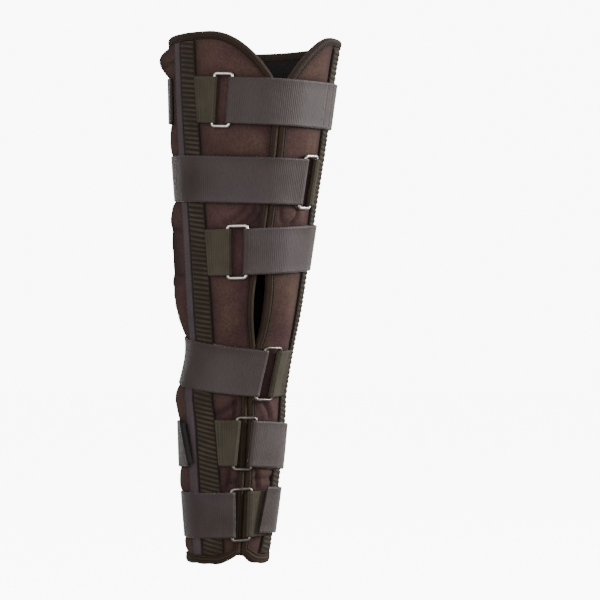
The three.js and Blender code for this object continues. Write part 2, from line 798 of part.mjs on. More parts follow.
function ringOutline() {
  const halfWidth = (RING_WIDTH - RING_WIRE) / 2;
  const halfHeight = STRAP_WIDTH / 2 + RING_PLAY + RING_WIRE / 2;
  const outline = [];
  for (let corner = 0; corner < 4; corner += 1) {
    const right = corner === 0 || corner === 3 ? 1 : -1;
    const upper = corner < 2 ? 1 : -1;
    for (let step = 0; step <= CORNER_STEPS; step += 1) {
      const turn = (Math.PI / 2) * (corner + step / CORNER_STEPS);
      outline.push({
        across: right * (halfWidth - RING_CORNER) + RING_CORNER * Math.cos(turn),
        up: upper * (halfHeight - RING_CORNER) + RING_CORNER * Math.sin(turn),
      });
    }
    if (corner === 0) outline.push({ across: 0, up: halfHeight });
    if (corner === 2) outline.push({ across: 0, up: -halfHeight });
  }
  return outline;
}

function addRing(strap) {
  const place = ringPlace(strap);
  const centres = ringOutline().map(({ across, up }) => {
    const height = place.height + up + place.slope * across;
    const angle = place.angle + (across - place.slope * up) / place.radius;
    return { point: surfacePoint(angle, height, place.lift), angle };
  });
  const count = centres.length;
  const sections = centres.map(({ point, angle }, index) => {
    const before = centres[(index + count - 1) % count].point;
    const after = centres[(index + 1) % count].point;
    const along = new THREE.Vector3().subVectors(after, before).normalize();
    const out = new THREE.Vector3(Math.sin(angle), -Math.cos(angle), 0);
    const side = new THREE.Vector3().crossVectors(along, out).normalize();
    const lift = new THREE.Vector3().crossVectors(side, along);
    const circle = [];
    for (let step = 0; step < WIRE_SIDES; step += 1) {
      const turn = (2 * Math.PI * step) / WIRE_SIDES;
      const offset = new THREE.Vector3()
        .addScaledVector(lift, Math.cos(turn))
        .addScaledVector(side, Math.sin(turn));
      circle.push(point.clone().addScaledVector(offset, RING_WIRE / 2));
    }
    const half = WIRE_SIDES / 2;
    return { outer: circle.slice(0, half), inner: circle.slice(half).toReversed() };
  });
  addSolid(`ring_${strap.name}`, "wire", sections, true);
}

// The whole part

addPanel("panel_back", [...rightHalf, ...leftHalf.slice(1)]);
addPanel("panel_front_left", leftFront);
addPanel("panel_front_right", rightFront);
for (const [label, side] of [["left", -1], ["right", 1]]) {
  addStrip(`casing_${label}`, "casing", side, 0, CASING_WIDTH, CASING_THICKNESS, CASING_SECTION);
  addStrip(`seam_tape_${label}`, "tape", side, TAPE_OFFSET, TAPE_WIDTH, TAPE_THICKNESS, TAPE_SECTION);
}
addBinding("binding_left", -1, leftHalf, leftFront);
addBinding("binding_right", 1, rightHalf, rightFront);
for (const strap of STRAPS) {
  addStrap(strap);
  addTab(strap);
  addRing(strap);
}

export default object;
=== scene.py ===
"""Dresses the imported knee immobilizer, a padded leg sleeve held closed by webbing straps.

Every piece is worked out on the sleeve's own surface: an angle round it from the front toward +X,
a height up it, and a lift off it, all lengths in millimetres. Meshes are handed over in metres.
"""

import json
import logging
import math
from dataclasses import dataclass, field
from enum import Enum
from typing import Callable, Iterable, Sequence

import bpy
import numpy as np
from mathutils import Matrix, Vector

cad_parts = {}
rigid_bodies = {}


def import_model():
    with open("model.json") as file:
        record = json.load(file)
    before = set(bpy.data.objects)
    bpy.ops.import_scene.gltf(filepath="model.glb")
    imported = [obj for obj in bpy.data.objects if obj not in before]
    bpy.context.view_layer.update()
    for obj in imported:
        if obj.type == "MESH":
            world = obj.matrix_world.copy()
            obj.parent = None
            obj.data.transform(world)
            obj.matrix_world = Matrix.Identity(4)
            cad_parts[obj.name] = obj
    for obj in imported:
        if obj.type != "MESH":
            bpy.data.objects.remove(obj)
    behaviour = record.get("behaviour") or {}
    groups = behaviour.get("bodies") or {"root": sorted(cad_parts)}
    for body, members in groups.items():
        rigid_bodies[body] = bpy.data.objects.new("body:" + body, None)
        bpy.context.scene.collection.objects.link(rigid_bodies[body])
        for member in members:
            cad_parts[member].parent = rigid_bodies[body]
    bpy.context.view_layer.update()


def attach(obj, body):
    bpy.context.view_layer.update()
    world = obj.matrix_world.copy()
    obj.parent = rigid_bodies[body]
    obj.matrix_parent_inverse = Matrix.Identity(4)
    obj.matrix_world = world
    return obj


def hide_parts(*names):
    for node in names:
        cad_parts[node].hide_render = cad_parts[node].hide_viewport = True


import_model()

LOG = logging.getLogger("knee_immobilizer")
MM = 0.001
TURN = 2 * math.pi
BODY = "root"
MM_PER_CM = 10
SETTLING_ROUNDS = 24
NORMAL_REACH = 9.0


class Side(Enum):
    """The two halves of the sleeve, as seen from the front."""

    LEFT = -1
    RIGHT = 1


@dataclass(frozen=True)
class FormRow:
    """The leg's girth, lean and set-back at one share of the sleeve's length."""

    share: float
    girth: float
    lean: float
    set_back: float


LEG_FORM = (
    FormRow(0.0, 0.0, -0.411, 0.75),
    FormRow(0.16, 0.178, -0.314, 1.0),
    FormRow(0.276, 0.255, -0.239, 1.0),
    FormRow(0.317, 0.276, -0.249, 0.9),
    FormRow(0.4, 0.26, 0.0, 0.5),
    FormRow(0.478, 0.397, 0.048, 0.22),
    FormRow(0.59, 0.53, 0.137, 0.0),
    FormRow(0.68, 0.638, 0.217, 0.0),
    FormRow(0.78, 0.77, 0.318, 0.0),
    FormRow(0.92, 0.903, 0.478, 0.0),
    FormRow(1.0, 1.0, 0.607, 0.0),
)


@dataclass(frozen=True)
class StrapRow:
    """One strap: the free share of the sleeve below it, its ring, its slopes and its free end."""

    name: str
    gap: float
    ring: Side
    reach: float
    tilt: float
    back_tilt: float
    end: float
    stand_off: float = 0.0
    end_rise: float = 0.0
    askew: float = 0.0
    # Reach of the dark hook field past the free end: a painted shadow under the raised flap.
    hook_over: float = 0.0


STRAPS = (
    StrapRow("6", 0.1034, Side.RIGHT, 0.916, 0.03, -0.04, -340, 9.5, 4),
    StrapRow("5", 0.0996, Side.LEFT, 0.732, -0.06, -0.1, 288, 6.5, 0, 4.5, 6.0),
    StrapRow("4", 0.0966, Side.RIGHT, 0.862, -0.09, 0.1, -215),
    StrapRow("3", 0.2977, Side.LEFT, 0.878, 0.039, 0.02, 185),
    StrapRow("2", 0.0927, Side.RIGHT, 0.511, -0.026, 0.017, -250),
    StrapRow("1", 0.1241, Side.LEFT, 0.813, -0.036, 0.015, 268),
)

STRAP_WIDTH = 47.0
STRAP_THICKNESS = 1.6


@dataclass(frozen=True)
class Bulge:
    """Slack of the back panel that fills the stretch between two straps, or a strap and the rim."""

    below: str
    above: str | None
    angle: float
    half_angle: float
    rise: float


BULGES = (Bulge("4", "2", -127, 40, 9), Bulge("1", None, -114, 25, 9))


def smoothstep(value: np.ndarray, low: float, high: float) -> np.ndarray:
    """Climb smoothly from 0 at low to 1 at high."""
    t = np.clip((value - low) / (high - low), 0, 1)
    return t * t * (3 - 2 * t)


def near_angle(angle: np.ndarray) -> np.ndarray:
    """Turn angles by whole turns to within half a turn of the front."""
    return angle - TURN * np.round(np.asarray(angle) / TURN)


def mix(start: np.ndarray, end: np.ndarray, share: np.ndarray) -> np.ndarray:
    """Blend linearly from start to end."""
    return start + (end - start) * share


@dataclass(frozen=True)
class Sleeve:
    """The worn sleeve's outer face and the lines that run over it, in millimetres."""

    length: float = 543.0
    knee_height: float = 259.0
    thigh_width: float = 178.0
    ankle_width: float = 83.0
    depth_ratio: float = 1.03
    leg_lean: float = 28.3
    calf_set_back: float = 8.0
    panel: float = 6.0
    panel_seam: float = 0.4
    left_top: float = 110.0
    left_bottom: float = 29.0
    left_flare: float = 1.22
    right_top: float = 87.0
    right_bottom: float = 30.0
    right_flare: float = 0.65
    front_gap: float = 0.4
    knee_opening: float = 12.5
    knee_margin: float = 4.0
    top_opening: float = 11.0
    opening_drift: float = 5.0
    drift_start: float = 0.6
    drift_end: float = 0.8
    notch_depth: float = 60.0
    notch_share: float = 0.78
    side_drop: float = 6.0
    back_drop: float = 10.0
    back_roundness: int = 4
    bottom_notch: float = 13.0
    bottom_reach: float = 30.0
    bulge_skew: float = 1.4

    def share(self, height: np.ndarray) -> np.ndarray:
        """Share of the sleeve's length at a height."""
        return (np.asarray(height, float) + self.knee_height) / self.length

    def sample(self, column: str, height: np.ndarray) -> np.ndarray:
        """Read one column of the leg's form at a height.

        Args:
            column: Name of a field of FormRow.
            height: Heights up the leg.

        Returns:
            The column's smooth values there.
        """
        shares = np.array([row.share for row in LEG_FORM])
        values = np.array([getattr(row, column) for row in LEG_FORM])
        share = self.share(height)
        order = np.arange(len(shares))
        before = np.maximum(order - 1, 0)
        after = np.minimum(order + 1, len(shares) - 1)
        slopes = (values[after] - values[before]) / (shares[after] - shares[before])
        row = np.clip(np.searchsorted(shares, share) - 1, 0, len(shares) - 2)
        span = shares[row + 1] - shares[row]
        t = (share - shares[row]) / span
        rising = t * t * (3 - 2 * t)
        pull = t * (1 - t) ** 2 * span * slopes[row] - t * t * (1 - t) * span * slopes[row + 1]
        inside = (t >= 0) & (t <= 1)
        curved = mix(values[row], values[row + 1], rising) + pull
        return np.where(inside, curved, mix(values[row], values[row + 1], t))

    def half_width(self, height: np.ndarray) -> np.ndarray:
        """Half the sleeve's width at a height."""
        return mix(self.ankle_width, self.thigh_width, self.sample("girth", height)) / 2

    def radius(self, height: np.ndarray) -> np.ndarray:
        """Mean radius of the sleeve at a height."""
        return self.half_width(height) * (1 + self.depth_ratio) / 2

    def point(self, angle: np.ndarray, height: np.ndarray, lift: np.ndarray) -> np.ndarray:
        """Place points by angle, height and lift off the sleeve.

        Args:
            angle: Angles round the sleeve.
            height: Heights up the leg.
            lift: Distances outside the sleeve's face.

        Returns:
            Their coordinates, along a last axis of three.
        """
        angle, height, lift = np.broadcast_arrays(angle, height, lift)
        half = self.half_width(height)
        x = self.leg_lean * self.sample("lean", height) + (half + lift) * np.sin(angle)
        back = self.calf_set_back * self.sample("set_back", height)
        y = back - (half * self.depth_ratio + lift) * np.cos(angle)
        return np.stack([x, y, height], axis=-1)

    def casing_angle(self, side: Side, height: np.ndarray) -> np.ndarray:
        """Angle of the middle of a side's casing."""
        share = np.clip(self.share(height), 0, 1)
        if side is Side.LEFT:
            width = mix(self.left_bottom, self.left_top, share**self.left_flare)
        else:
            width = mix(self.right_bottom, self.right_top, share**self.right_flare)
        return side.value * width / self.radius(height)

    def beside_casing(self, side: Side, height: np.ndarray, offset: float) -> np.ndarray:
        """Angle of a line that runs beside a casing, offset behind its middle."""
        return self.casing_angle(side, height) + side.value * offset / self.radius(height)

    def opening_angle(self, height: np.ndarray) -> np.ndarray:
        """Angle of the middle of the front opening."""
        drift = smoothstep(self.share(height), self.drift_start, self.drift_end)
        return self.opening_drift * drift / self.radius(height)

    def from_opening(self, angle: np.ndarray, height: np.ndarray) -> np.ndarray:
        """Signed arc from the middle of the opening."""
        return near_angle(angle - self.opening_angle(height)) * self.radius(height)

    def top_rim(self, angle: np.ndarray) -> np.ndarray:
        """Height of the top rim at an angle."""
        turned = near_angle(angle)
        top = self.length - self.knee_height
        width = np.where(turned < 0, self.left_top, self.right_top)
        arc = np.abs(self.from_opening(angle, top))
        notch = np.maximum(0, 1 - arc / (self.notch_share * width))
        side = self.side_drop * (1 + np.sin(turned)) / 2
        back = self.back_drop * np.sin(turned / 2) ** self.back_roundness
        return top - side - back - self.notch_depth * notch**2

    def bottom_rim(self, angle: np.ndarray) -> np.ndarray:
        """Height of the bottom rim at an angle."""
        arc = np.abs(self.from_opening(angle, -self.knee_height))
        notch = np.maximum(0, 1 - arc / self.bottom_reach)
        return self.bottom_notch * notch**2 - self.knee_height

    def strap(self, name: str) -> StrapRow:
        """Find a strap by its name."""
        return next(row for row in STRAPS if row.name == name)

    def strap_centre(self, strap: StrapRow) -> float:
        """Height of a strap's middle at the front."""
        free = self.length - len(STRAPS) * STRAP_WIDTH
        foot = -self.knee_height
        for row in STRAPS:
            foot += row.gap * free
            if row is strap:
                break
            foot += STRAP_WIDTH
        return foot + STRAP_WIDTH / 2

    def strap_height(self, strap: StrapRow, angle: np.ndarray) -> np.ndarray:
        """Height of a strap's middle at an angle."""
        centre = self.strap_centre(strap)
        half = self.half_width(centre)
        right = strap.tilt * half * np.sin(angle)
        back = strap.back_tilt * half * self.depth_ratio * (1 - np.cos(angle))
        return centre + right + back

    def opening_half_width(self, height: np.ndarray) -> np.ndarray:
        """Half the opening's width: a lens at the knee, and a gap that widens to the notch."""
        low = self.strap_centre(self.strap("4")) + STRAP_WIDTH / 2 + self.knee_margin
        high = self.strap_centre(self.strap("3")) + self.knee_margin
        t = (2 * np.asarray(height, float) - low - high) / (high - low)
        lens = self.knee_opening / 2 * np.maximum(0, 1 - t * t)
        climb = (height - self.strap_centre(self.strap("1"))) / STRAP_WIDTH + 0.5
        return self.front_gap / 2 + lens + self.top_opening / 2 * np.maximum(0, climb) ** 2

    def opening_edge(self, side: Side, height: np.ndarray, inset: float) -> np.ndarray:
        """Angle of a front panel's edge at the opening."""
        away = self.opening_half_width(height) + inset
        return self.opening_angle(height) + side.value * away / self.radius(height)

    def bulge(self, angle: np.ndarray, height: np.ndarray) -> np.ndarray:
        """How far the back panel stands out at its bulges."""
        rise = np.zeros(np.broadcast(angle, height).shape)
        for row in BULGES:
            low = self.strap_height(self.strap(row.below), angle) + STRAP_WIDTH / 2
            if row.above is None:
                high = self.top_rim(angle) - RIM_BAND
            else:
                high = self.strap_height(self.strap(row.above), angle) - STRAP_WIDTH / 2
            up = np.clip((height - low) / (high - low), 0, 1) ** self.bulge_skew
            turned = near_angle(angle - math.radians(row.angle)) / math.radians(row.half_angle)
            fade = np.cos(np.clip(turned, -1, 1) * math.pi / 2) ** 2
            rise = rise + row.rise * np.sqrt(np.maximum(0, np.sin(up * math.pi))) * fade
        return rise


# Trim that the pieces share, in millimetres
BINDING_THICKNESS = 1.0
BINDING_CLEARANCE = 0.5
BINDING_LIP = 6.8
TRIM_GAP = 0.5
RIM_BAND = BINDING_LIP + 2 * TRIM_GAP
CASING_WIDTH = 23.0
CASING_THICKNESS = 3.0
TAPE_WIDTH = 15.0
TAPE_THICKNESS = 1.0
TAPE_OFFSET = CASING_WIDTH / 2 + TRIM_GAP + TAPE_WIDTH / 2
SLEEVE = Sleeve()
EDGE_INSET = BINDING_THICKNESS + BINDING_CLEARANCE


Colour = tuple[float, float, float]
WHITE = (255, 255, 255)
SCREEN_WHITE = 255
SCREEN_KNEE = 0.04045
SCREEN_SLOPE = 12.92
SCREEN_OFFSET = 0.055
SCREEN_POWER = 2.4


def linear(colour: Colour) -> tuple[float, float, float, float]:
    """Turn a screen colour, 0 to 255 a channel, into the linear one that shaders take."""
    bent = []
    for channel in colour:
        value = channel / SCREEN_WHITE
        if value <= SCREEN_KNEE:
            bent.append(value / SCREEN_SLOPE)
        else:
            bent.append(((value + SCREEN_OFFSET) / (1 + SCREEN_OFFSET)) ** SCREEN_POWER)
    return (*bent, 1.0)


def darkened(colour: Colour, share: float) -> Colour:
    """Scale a screen colour's channels down to a share."""
    red, green, blue = colour
    return red * share, green * share, blue * share


class Socket:
    """A shader socket that takes part in Python expressions."""

    def __init__(self, tree: "ShaderTree", socket: bpy.types.NodeSocket) -> None:
        """Wrap one output socket of a tree."""
        self.tree = tree
        self.socket = socket

    def _math(self, operation: str, *values: "float | Socket") -> "Socket":
        """Add a Math node on these values."""
        return self.tree.node("ShaderNodeMath", {"operation": operation}, *values)

    def __add__(self, other: "float | Socket") -> "Socket":
        """Add."""
        return self._math("ADD", self, other)

    def __sub__(self, other: "float | Socket") -> "Socket":
        """Subtract."""
        return self._math("SUBTRACT", self, other)

    def __rsub__(self, other: float) -> "Socket":
        """Subtract from a number."""
        return self._math("SUBTRACT", other, self)

    def squared(self) -> "Socket":
        """Multiply by itself, which also holds for what is below nought."""
        return self * self

    def __mul__(self, other: "float | Socket") -> "Socket":
        """Multiply."""
        return self._math("MULTIPLY", self, other)

    def wave(self) -> "Socket":
        """Sine of the value times a whole turn, moved into 0 to 1."""
        return self._math("SINE", self * TURN) * 0.5 + 0.5

    def clamp(self) -> "Socket":
        """Keep the value from 0 to 1."""
        return self._math("MINIMUM", self._math("MAXIMUM", self, 0.0), 1.0)


NOISE_ROUGHNESS = 0.55


class ShaderTree:
    """The node tree of one new material."""

    def __init__(self, name: str) -> None:
        """Start a material with an empty Principled shader."""
        self.material = bpy.data.materials.new(name)
        self.material.use_nodes = True
        self.nodes = self.material.node_tree.nodes
        self.links = self.material.node_tree.links
        self.shader = self.nodes["Principled BSDF"]

    def node(self, kind: str, settings: dict, *values: object) -> Socket:
        """Add a node, set it up and feed its sockets.

        Args:
            kind: The node's type name.
            settings: Its own settings.
            values: Numbers, colours or sockets for its inputs in order; None leaves one alone.

        Returns:
            Its first output.
        """
        node = self.nodes.new(kind)
        for key, value in settings.items():
            setattr(node, key, value)
        for target, value in zip(node.inputs, values):
            self.feed(target, value)
        return Socket(self, node.outputs[0])

    def feed(self, target: bpy.types.NodeSocket, value: object) -> None:
        """Link a socket to a target, or set the target's own number or screen colour."""
        if isinstance(value, Socket):
            self.links.new(value.socket, target)
        elif isinstance(value, tuple):
            target.default_value = linear(value)
        elif value is not None:
            target.default_value = value

    def set(self, **values: object) -> None:
        """Feed the shader's sockets, named with underscores for spaces."""
        for name, value in values.items():
            self.feed(self.shader.inputs[name.replace("_", " ")], value)

    def surface(self) -> tuple[Socket, Socket]:
        """Return the piece's own map: centimetres along it and across it."""
        coordinates = self.nodes.new("ShaderNodeTexCoord")
        split = self.nodes.new("ShaderNodeSeparateXYZ")
        self.links.new(coordinates.outputs["UV"], split.inputs[0])
        return Socket(self, split.outputs[0]), Socket(self, split.outputs[1])

    def place(self) -> Socket:
        """Return the piece's own coordinates in metres."""
        coordinates = self.nodes.new("ShaderNodeTexCoord")
        return Socket(self, coordinates.outputs["Object"])

    def attribute(self, name: str) -> Socket:
        """Return a number that the mesh carries."""
        node = self.nodes.new("ShaderNodeAttribute")
        node.attribute_name = name
        return Socket(self, node.outputs["Fac"])

    def noise(self, vector: Socket, scale: float, detail: float = 2.0) -> Socket:
        """Return soft noise from 0 to 1."""
        settings = {"noise_dimensions": "3D"}
        inputs = (vector, None, scale, detail, NOISE_ROUGHNESS)
        return self.node("ShaderNodeTexNoise", settings, *inputs)

    def colour_mix(self, factor: "float | Socket", low: object, high: object) -> Socket:
        """Blend two colours.

        Args:
            factor: Share of the second colour.
            low: First colour, or a colour socket.
            high: Second colour, or a colour socket.

        Returns:
            The blended colour.
        """
        node = self.nodes.new("ShaderNodeMix")
        node.data_type = "RGBA"
        colours = [socket for socket in node.inputs if socket.type == "RGBA"]
        self.feed(node.inputs[0], factor)
        self.feed(colours[0], low)
        self.feed(colours[1], high)
        result = next(socket for socket in node.outputs if socket.type == "RGBA")
        return Socket(self, result)

    def bump(self, height: Socket, strength: float, distance: float) -> Socket:
        """Turn a height into a normal, with distance in metres."""
        return self.node("ShaderNodeBump", {}, strength, distance, None, height)


@dataclass(frozen=True)
class Recipe:
    """The shares in which a shader adds numbers up, and what it adds to their sum."""

    shares: tuple[float, ...]
    shift: float = 0.0

    def line(self, *values: Socket) -> Socket:
        """Return the sum."""
        total = values[0] * self.shares[0]
        for value, share in zip(values[1:], self.shares[1:]):
            total = total + value * share
        return total + self.shift

    def clamped(self, *values: Socket) -> Socket:
        """Return the sum, kept from 0 to 1."""
        return self.line(*values).clamp()


@dataclass(frozen=True)
class VelourFinish:
    """Brushed loop cloth over foam: a nap with a sheen, a faint cross-hatch, a painted highlight on
    the crowns and painted shade in the creases.

    Recipes add up, in this order: lit, the patches and the crown; fibre, the grain, the hatch and
    the pile; relief, the hatch and the grain. The others take one number.
    """

    name: str = "velour"
    dark: Colour = (43, 27, 31)
    maroon: Colour = (86, 57, 60)
    brown: Colour = (80, 62, 48)
    worn: Colour = (106, 86, 74)
    shade: Colour = (14, 9, 9)
    sheen: Colour = (170, 135, 140)
    hatch_per_cm: float = 6.0
    grain_scale: float = 900.0
    grain_detail: float = 3.0
    pile_scale: float = 420.0
    patch_scale: float = 26.0
    patch_detail: float = 3.0
    hue_scale: float = 13.0
    pile: Recipe = Recipe((2.6,), -0.8)
    hue: Recipe = Recipe((2.2,), -0.6)
    wear: Recipe = Recipe((2.2,), -0.75)
    wear_on_crown: Recipe = Recipe((0.8,), 0.2)
    wear_share: float = 0.42
    lit: Recipe = Recipe((0.6, 0.85), -0.22)
    fibre: Recipe = Recipe((0.3, 0.25, 0.3), 0.25)
    root_share: float = 0.6
    fold_share: float = 0.85
    roughness: Recipe = Recipe((0.15,), 0.78)
    relief: Recipe = Recipe((0.5, 1.0))
    relief_strength: float = 0.5
    relief_depth: float = 0.0006
    sheen_weight: float = 0.05
    sheen_roughness: float = 0.4
    specular: float = 0.12

    def build(self) -> bpy.types.Material:
        """Make the material."""
        tree = ShaderTree(self.name)
        along, across = tree.surface()
        place = tree.place()
        first = (along * self.hatch_per_cm + across * self.hatch_per_cm).wave()
        second = (along * self.hatch_per_cm - across * self.hatch_per_cm).wave()
        hatch = first * second
        grain = tree.noise(place, self.grain_scale, self.grain_detail)
        pile = self.pile.clamped(tree.noise(place, self.pile_scale))
        patch = tree.noise(place, self.patch_scale, self.patch_detail)
        # Painted highlight: the crown number is lighter on the crowns of the puffs and darker on the
        # slack bulges; the lit share mixes it with random patches, and it also weights the wear.
        crown = tree.attribute("crown")
        worn = (self.wear.line(patch) * self.wear_on_crown.line(crown)).clamp()
        hue = self.hue.clamped(tree.noise(place, self.hue_scale))
        cloth = tree.colour_mix(hue, self.maroon, self.brown)
        base = tree.colour_mix(self.lit.clamped(patch, crown), self.dark, cloth)
        aged = tree.colour_mix(worn * self.wear_share, base, self.worn)
        root = darkened(self.dark, self.root_share)
        shaded = tree.colour_mix(self.fibre.clamped(grain, hatch, pile), root, aged)
        # Painted shade: a number that the panel carries darkens the nap toward the shade colour in
        # creases, beside straps, casings and bindings, in the rucks by the straps and on the slack
        # bulges.
        fold = tree.attribute("fold") * self.fold_share
        tree.set(
            Base_Color=tree.colour_mix(fold, shaded, self.shade),
            Roughness=self.roughness.line(grain),
            Normal=tree.bump(
                self.relief.line(hatch, grain), self.relief_strength, self.relief_depth
            ),
            Sheen_Weight=self.sheen_weight,
            Sheen_Roughness=self.sheen_roughness,
            Sheen_Tint=self.sheen,
            Specular_IOR_Level=self.specular,
        )
        return tree.material


@dataclass(frozen=True)
class WovenFinish:
    """Webbing, tape or binding: ribs across the run, threads along it, worn high spots.

    Recipes add up, in this order: tone, the weave, the patches and the grain; relief_mix, the weave
    and the grain. The others take one number. Dark lines run along the cloth at the places across
    it that lines gives, in centimetres, and cast is a second colour in broad soft patches.
    """

    name: str
    dark: Colour
    light: Colour
    ribs_per_cm: float
    threads_per_cm: float
    roughness: float = 0.75
    sheen: float = 0.05
    relief: float = 0.0004
    lines: tuple[float, ...] = ()
    line_width: float = 0.055
    cast: Colour | None = None
    specular: float = 0.12
    twill: float = 0.5
    thread_mix: Recipe = Recipe((0.45,), 0.55)
    patch_scale: float = 34.0
    patch_detail: float = 3.0
    grain_scale: float = 1500.0
    tone: Recipe = Recipe((0.28, 0.7, 0.3), -0.16)
    cast_scale: float = 17.0
    cast_mix: Recipe = Recipe((3.0,), -1.0)
    cast_share: float = 0.45
    line_share: float = 0.85
    line_dark: float = 0.3
    roughness_spread: float = 0.2
    relief_mix: Recipe = Recipe((1.0, 0.3))
    relief_strength: float = 0.6
    sheen_roughness: float = 0.3

    def build(self) -> bpy.types.Material:
        """Make the material."""
        tree = ShaderTree(self.name)
        along, across = tree.surface()
        place = tree.place()
        rib = (along * self.ribs_per_cm).wave()
        thread = (across * self.threads_per_cm + along * self.ribs_per_cm * self.twill).wave()
        weave = rib * self.thread_mix.line(thread)
        patch = tree.noise(place, self.patch_scale, self.patch_detail)
        grain = tree.noise(place, self.grain_scale)
        tone = self.tone.clamped(weave, patch, grain)
        colour = tree.colour_mix(tone, self.dark, self.light)
        if self.cast:
            cool = self.cast_mix.clamped(tree.noise(place, self.cast_scale))
            colour = tree.colour_mix(cool * self.cast_share, colour, self.cast)
        for line in self.lines:
            near = (1 - ((across - line) * (1 / self.line_width)).squared()).clamp()
            dark = darkened(self.dark, self.line_dark)
            colour = tree.colour_mix(near * self.line_share, colour, dark)
        roughness = Recipe((self.roughness_spread,), self.roughness - self.roughness_spread / 2)
        tree.set(
            Base_Color=colour,
            Roughness=roughness.clamped(patch),
            Normal=tree.bump(
                self.relief_mix.line(weave, grain), self.relief_strength, self.relief
            ),
            Sheen_Weight=self.sheen,
            Sheen_Roughness=self.sheen_roughness,
            Specular_IOR_Level=self.specular,
        )
        return tree.material


@dataclass(frozen=True)
class RibbedFinish:
    """Corrugated casing cloth, with a painted highlight on the crests and painted shade in the
    grooves.

    Recipes add up, in this order: ridge, the crest and the patches; relief, the grain and the
    twill. The others take one number.
    """

    name: str = "ribbed_casing"
    groove: Colour = (30, 24, 18)
    flank: Colour = (42, 35, 27)
    crest: Colour = (70, 60, 49)
    grain_scale: float = 1300.0
    patch_scale: float = 45.0
    twill_per_cm: float = 14.0
    flank_gain: float = 1.5
    ridge: Recipe = Recipe((1.3, 1.5), -1.3)
    crest_grain: Recipe = Recipe((0.7,), 0.45)
    roughness: Recipe = Recipe((0.2,), 0.62)
    relief: Recipe = Recipe((1.0, 0.5))
    relief_strength: float = 0.5
    relief_depth: float = 0.0004
    sheen: float = 0.03
    specular: float = 0.12

    def build(self) -> bpy.types.Material:
        """Make the material."""
        tree = ShaderTree(self.name)
        place = tree.place()
        along, across = tree.surface()
        crest = tree.attribute("crest")
        grain = tree.noise(place, self.grain_scale)
        patch = tree.noise(place, self.patch_scale)
        # Painted shade on the flanks and in the grooves, and a painted highlight on the crests, broken
        # up by random patches.
        flank = (crest * self.flank_gain).clamp()
        body = tree.colour_mix(flank, self.groove, self.flank)
        ridge = self.ridge.clamped(crest, patch) * self.crest_grain.line(grain)
        twill = ((along + across) * self.twill_per_cm).wave()
        tree.set(
            Base_Color=tree.colour_mix(ridge, body, self.crest),
            Roughness=self.roughness.line(grain),
            Normal=tree.bump(
                self.relief.line(grain, twill), self.relief_strength, self.relief_depth
            ),
            Sheen_Weight=self.sheen,
            Specular_IOR_Level=self.specular,
        )
        return tree.material


@dataclass(frozen=True)
class HookFinish:
    """Hook fastener: a matt dark field of tiny hooks.

    Both tone and relief add up the hooks and the grain, in this order.
    """

    name: str = "hook_field"
    dark: Colour = (11, 9, 9)
    light: Colour = (34, 30, 29)
    hooks_per_cm: float = 7.0
    grain_scale: float = 1800.0
    tone: Recipe = Recipe((0.8, 0.3), -0.1)
    roughness: Recipe = Recipe((0.1,), 0.8)
    relief: Recipe = Recipe((1.0, 0.3))
    relief_strength: float = 0.8
    relief_depth: float = 0.0006

    def build(self) -> bpy.types.Material:
        """Make the material."""
        tree = ShaderTree(self.name)
        along, across = tree.surface()
        hooks = (along * self.hooks_per_cm).wave() * (across * self.hooks_per_cm).wave()
        grain = tree.noise(tree.place(), self.grain_scale)
        tone = self.tone.clamped(hooks, grain)
        tree.set(
            Base_Color=tree.colour_mix(tone, self.dark, self.light),
            Roughness=self.roughness.line(grain),
            Normal=tree.bump(
                self.relief.line(hooks, grain), self.relief_strength, self.relief_depth
            ),
        )
        return tree.material


@dataclass(frozen=True)
class WireFinish:
    """Nickel-plated wire with a satin polish and small dull spots.

    The roughness adds up the patches and the scratches, in this order.
    """

    name: str = "nickel_wire"
    bright: Colour = (224, 218, 210)
    dull: Colour = (160, 153, 146)
    patch_scale: float = 160.0
    patch_detail: float = 3.0
    scratch_scale: float = 2400.0
    tone: Recipe = Recipe((1.6,), -0.4)
    roughness: Recipe = Recipe((0.15, 0.06), 0.3)
    relief_strength: float = 0.12
    relief_depth: float = 0.0002

    def build(self) -> bpy.types.Material:
        """Make the material."""
        tree = ShaderTree(self.name)
        place = tree.place()
        patch = tree.noise(place, self.patch_scale, self.patch_detail)
        scratch = tree.noise(place, self.scratch_scale)
        tone = self.tone.clamped(patch)
        tree.set(
            Base_Color=tree.colour_mix(tone, self.dull, self.bright),
            Metallic=1.0,
            Roughness=self.roughness.line(patch, scratch),
            Normal=tree.bump(scratch, self.relief_strength, self.relief_depth),
        )
        return tree.material


@dataclass(frozen=True)
class ThreadFinish:
    """Spun sewing thread with a fine twist."""

    name: str
    dark: Colour
    light: Colour
    grain_scale: float = 2600.0
    roughness: Recipe = Recipe((0.2,), 0.6)
    relief_strength: float = 0.5
    relief_depth: float = 0.0002
    sheen: float = 0.02
    specular: float = 0.15

    def build(self) -> bpy.types.Material:
        """Make the material."""
        tree = ShaderTree(self.name)
        grain = tree.noise(tree.place(), self.grain_scale)
        tree.set(
            Base_Color=tree.colour_mix(grain, self.dark, self.light),
            Roughness=self.roughness.line(grain),
            Normal=tree.bump(grain, self.relief_strength, self.relief_depth),
            Sheen_Weight=self.sheen,
            Specular_IOR_Level=self.specular,
        )
        return tree.material


def unit(vectors: np.ndarray) -> np.ndarray:
    """Scale vectors along the last axis to length one."""
    return vectors / np.maximum(np.linalg.norm(vectors, axis=-1, keepdims=True), TINY)


def run_length(points: np.ndarray) -> np.ndarray:
    """Distance along a run of points, from its first one."""
    steps = np.linalg.norm(np.diff(points, axis=0), axis=-1)
    return np.concatenate([[0.0], np.cumsum(steps)])


NOISE_WAVES = 9
NOISE_STRETCH = (0.7, 1.6)
NOISE_PEAK = 1.6
TINY = 1e-9


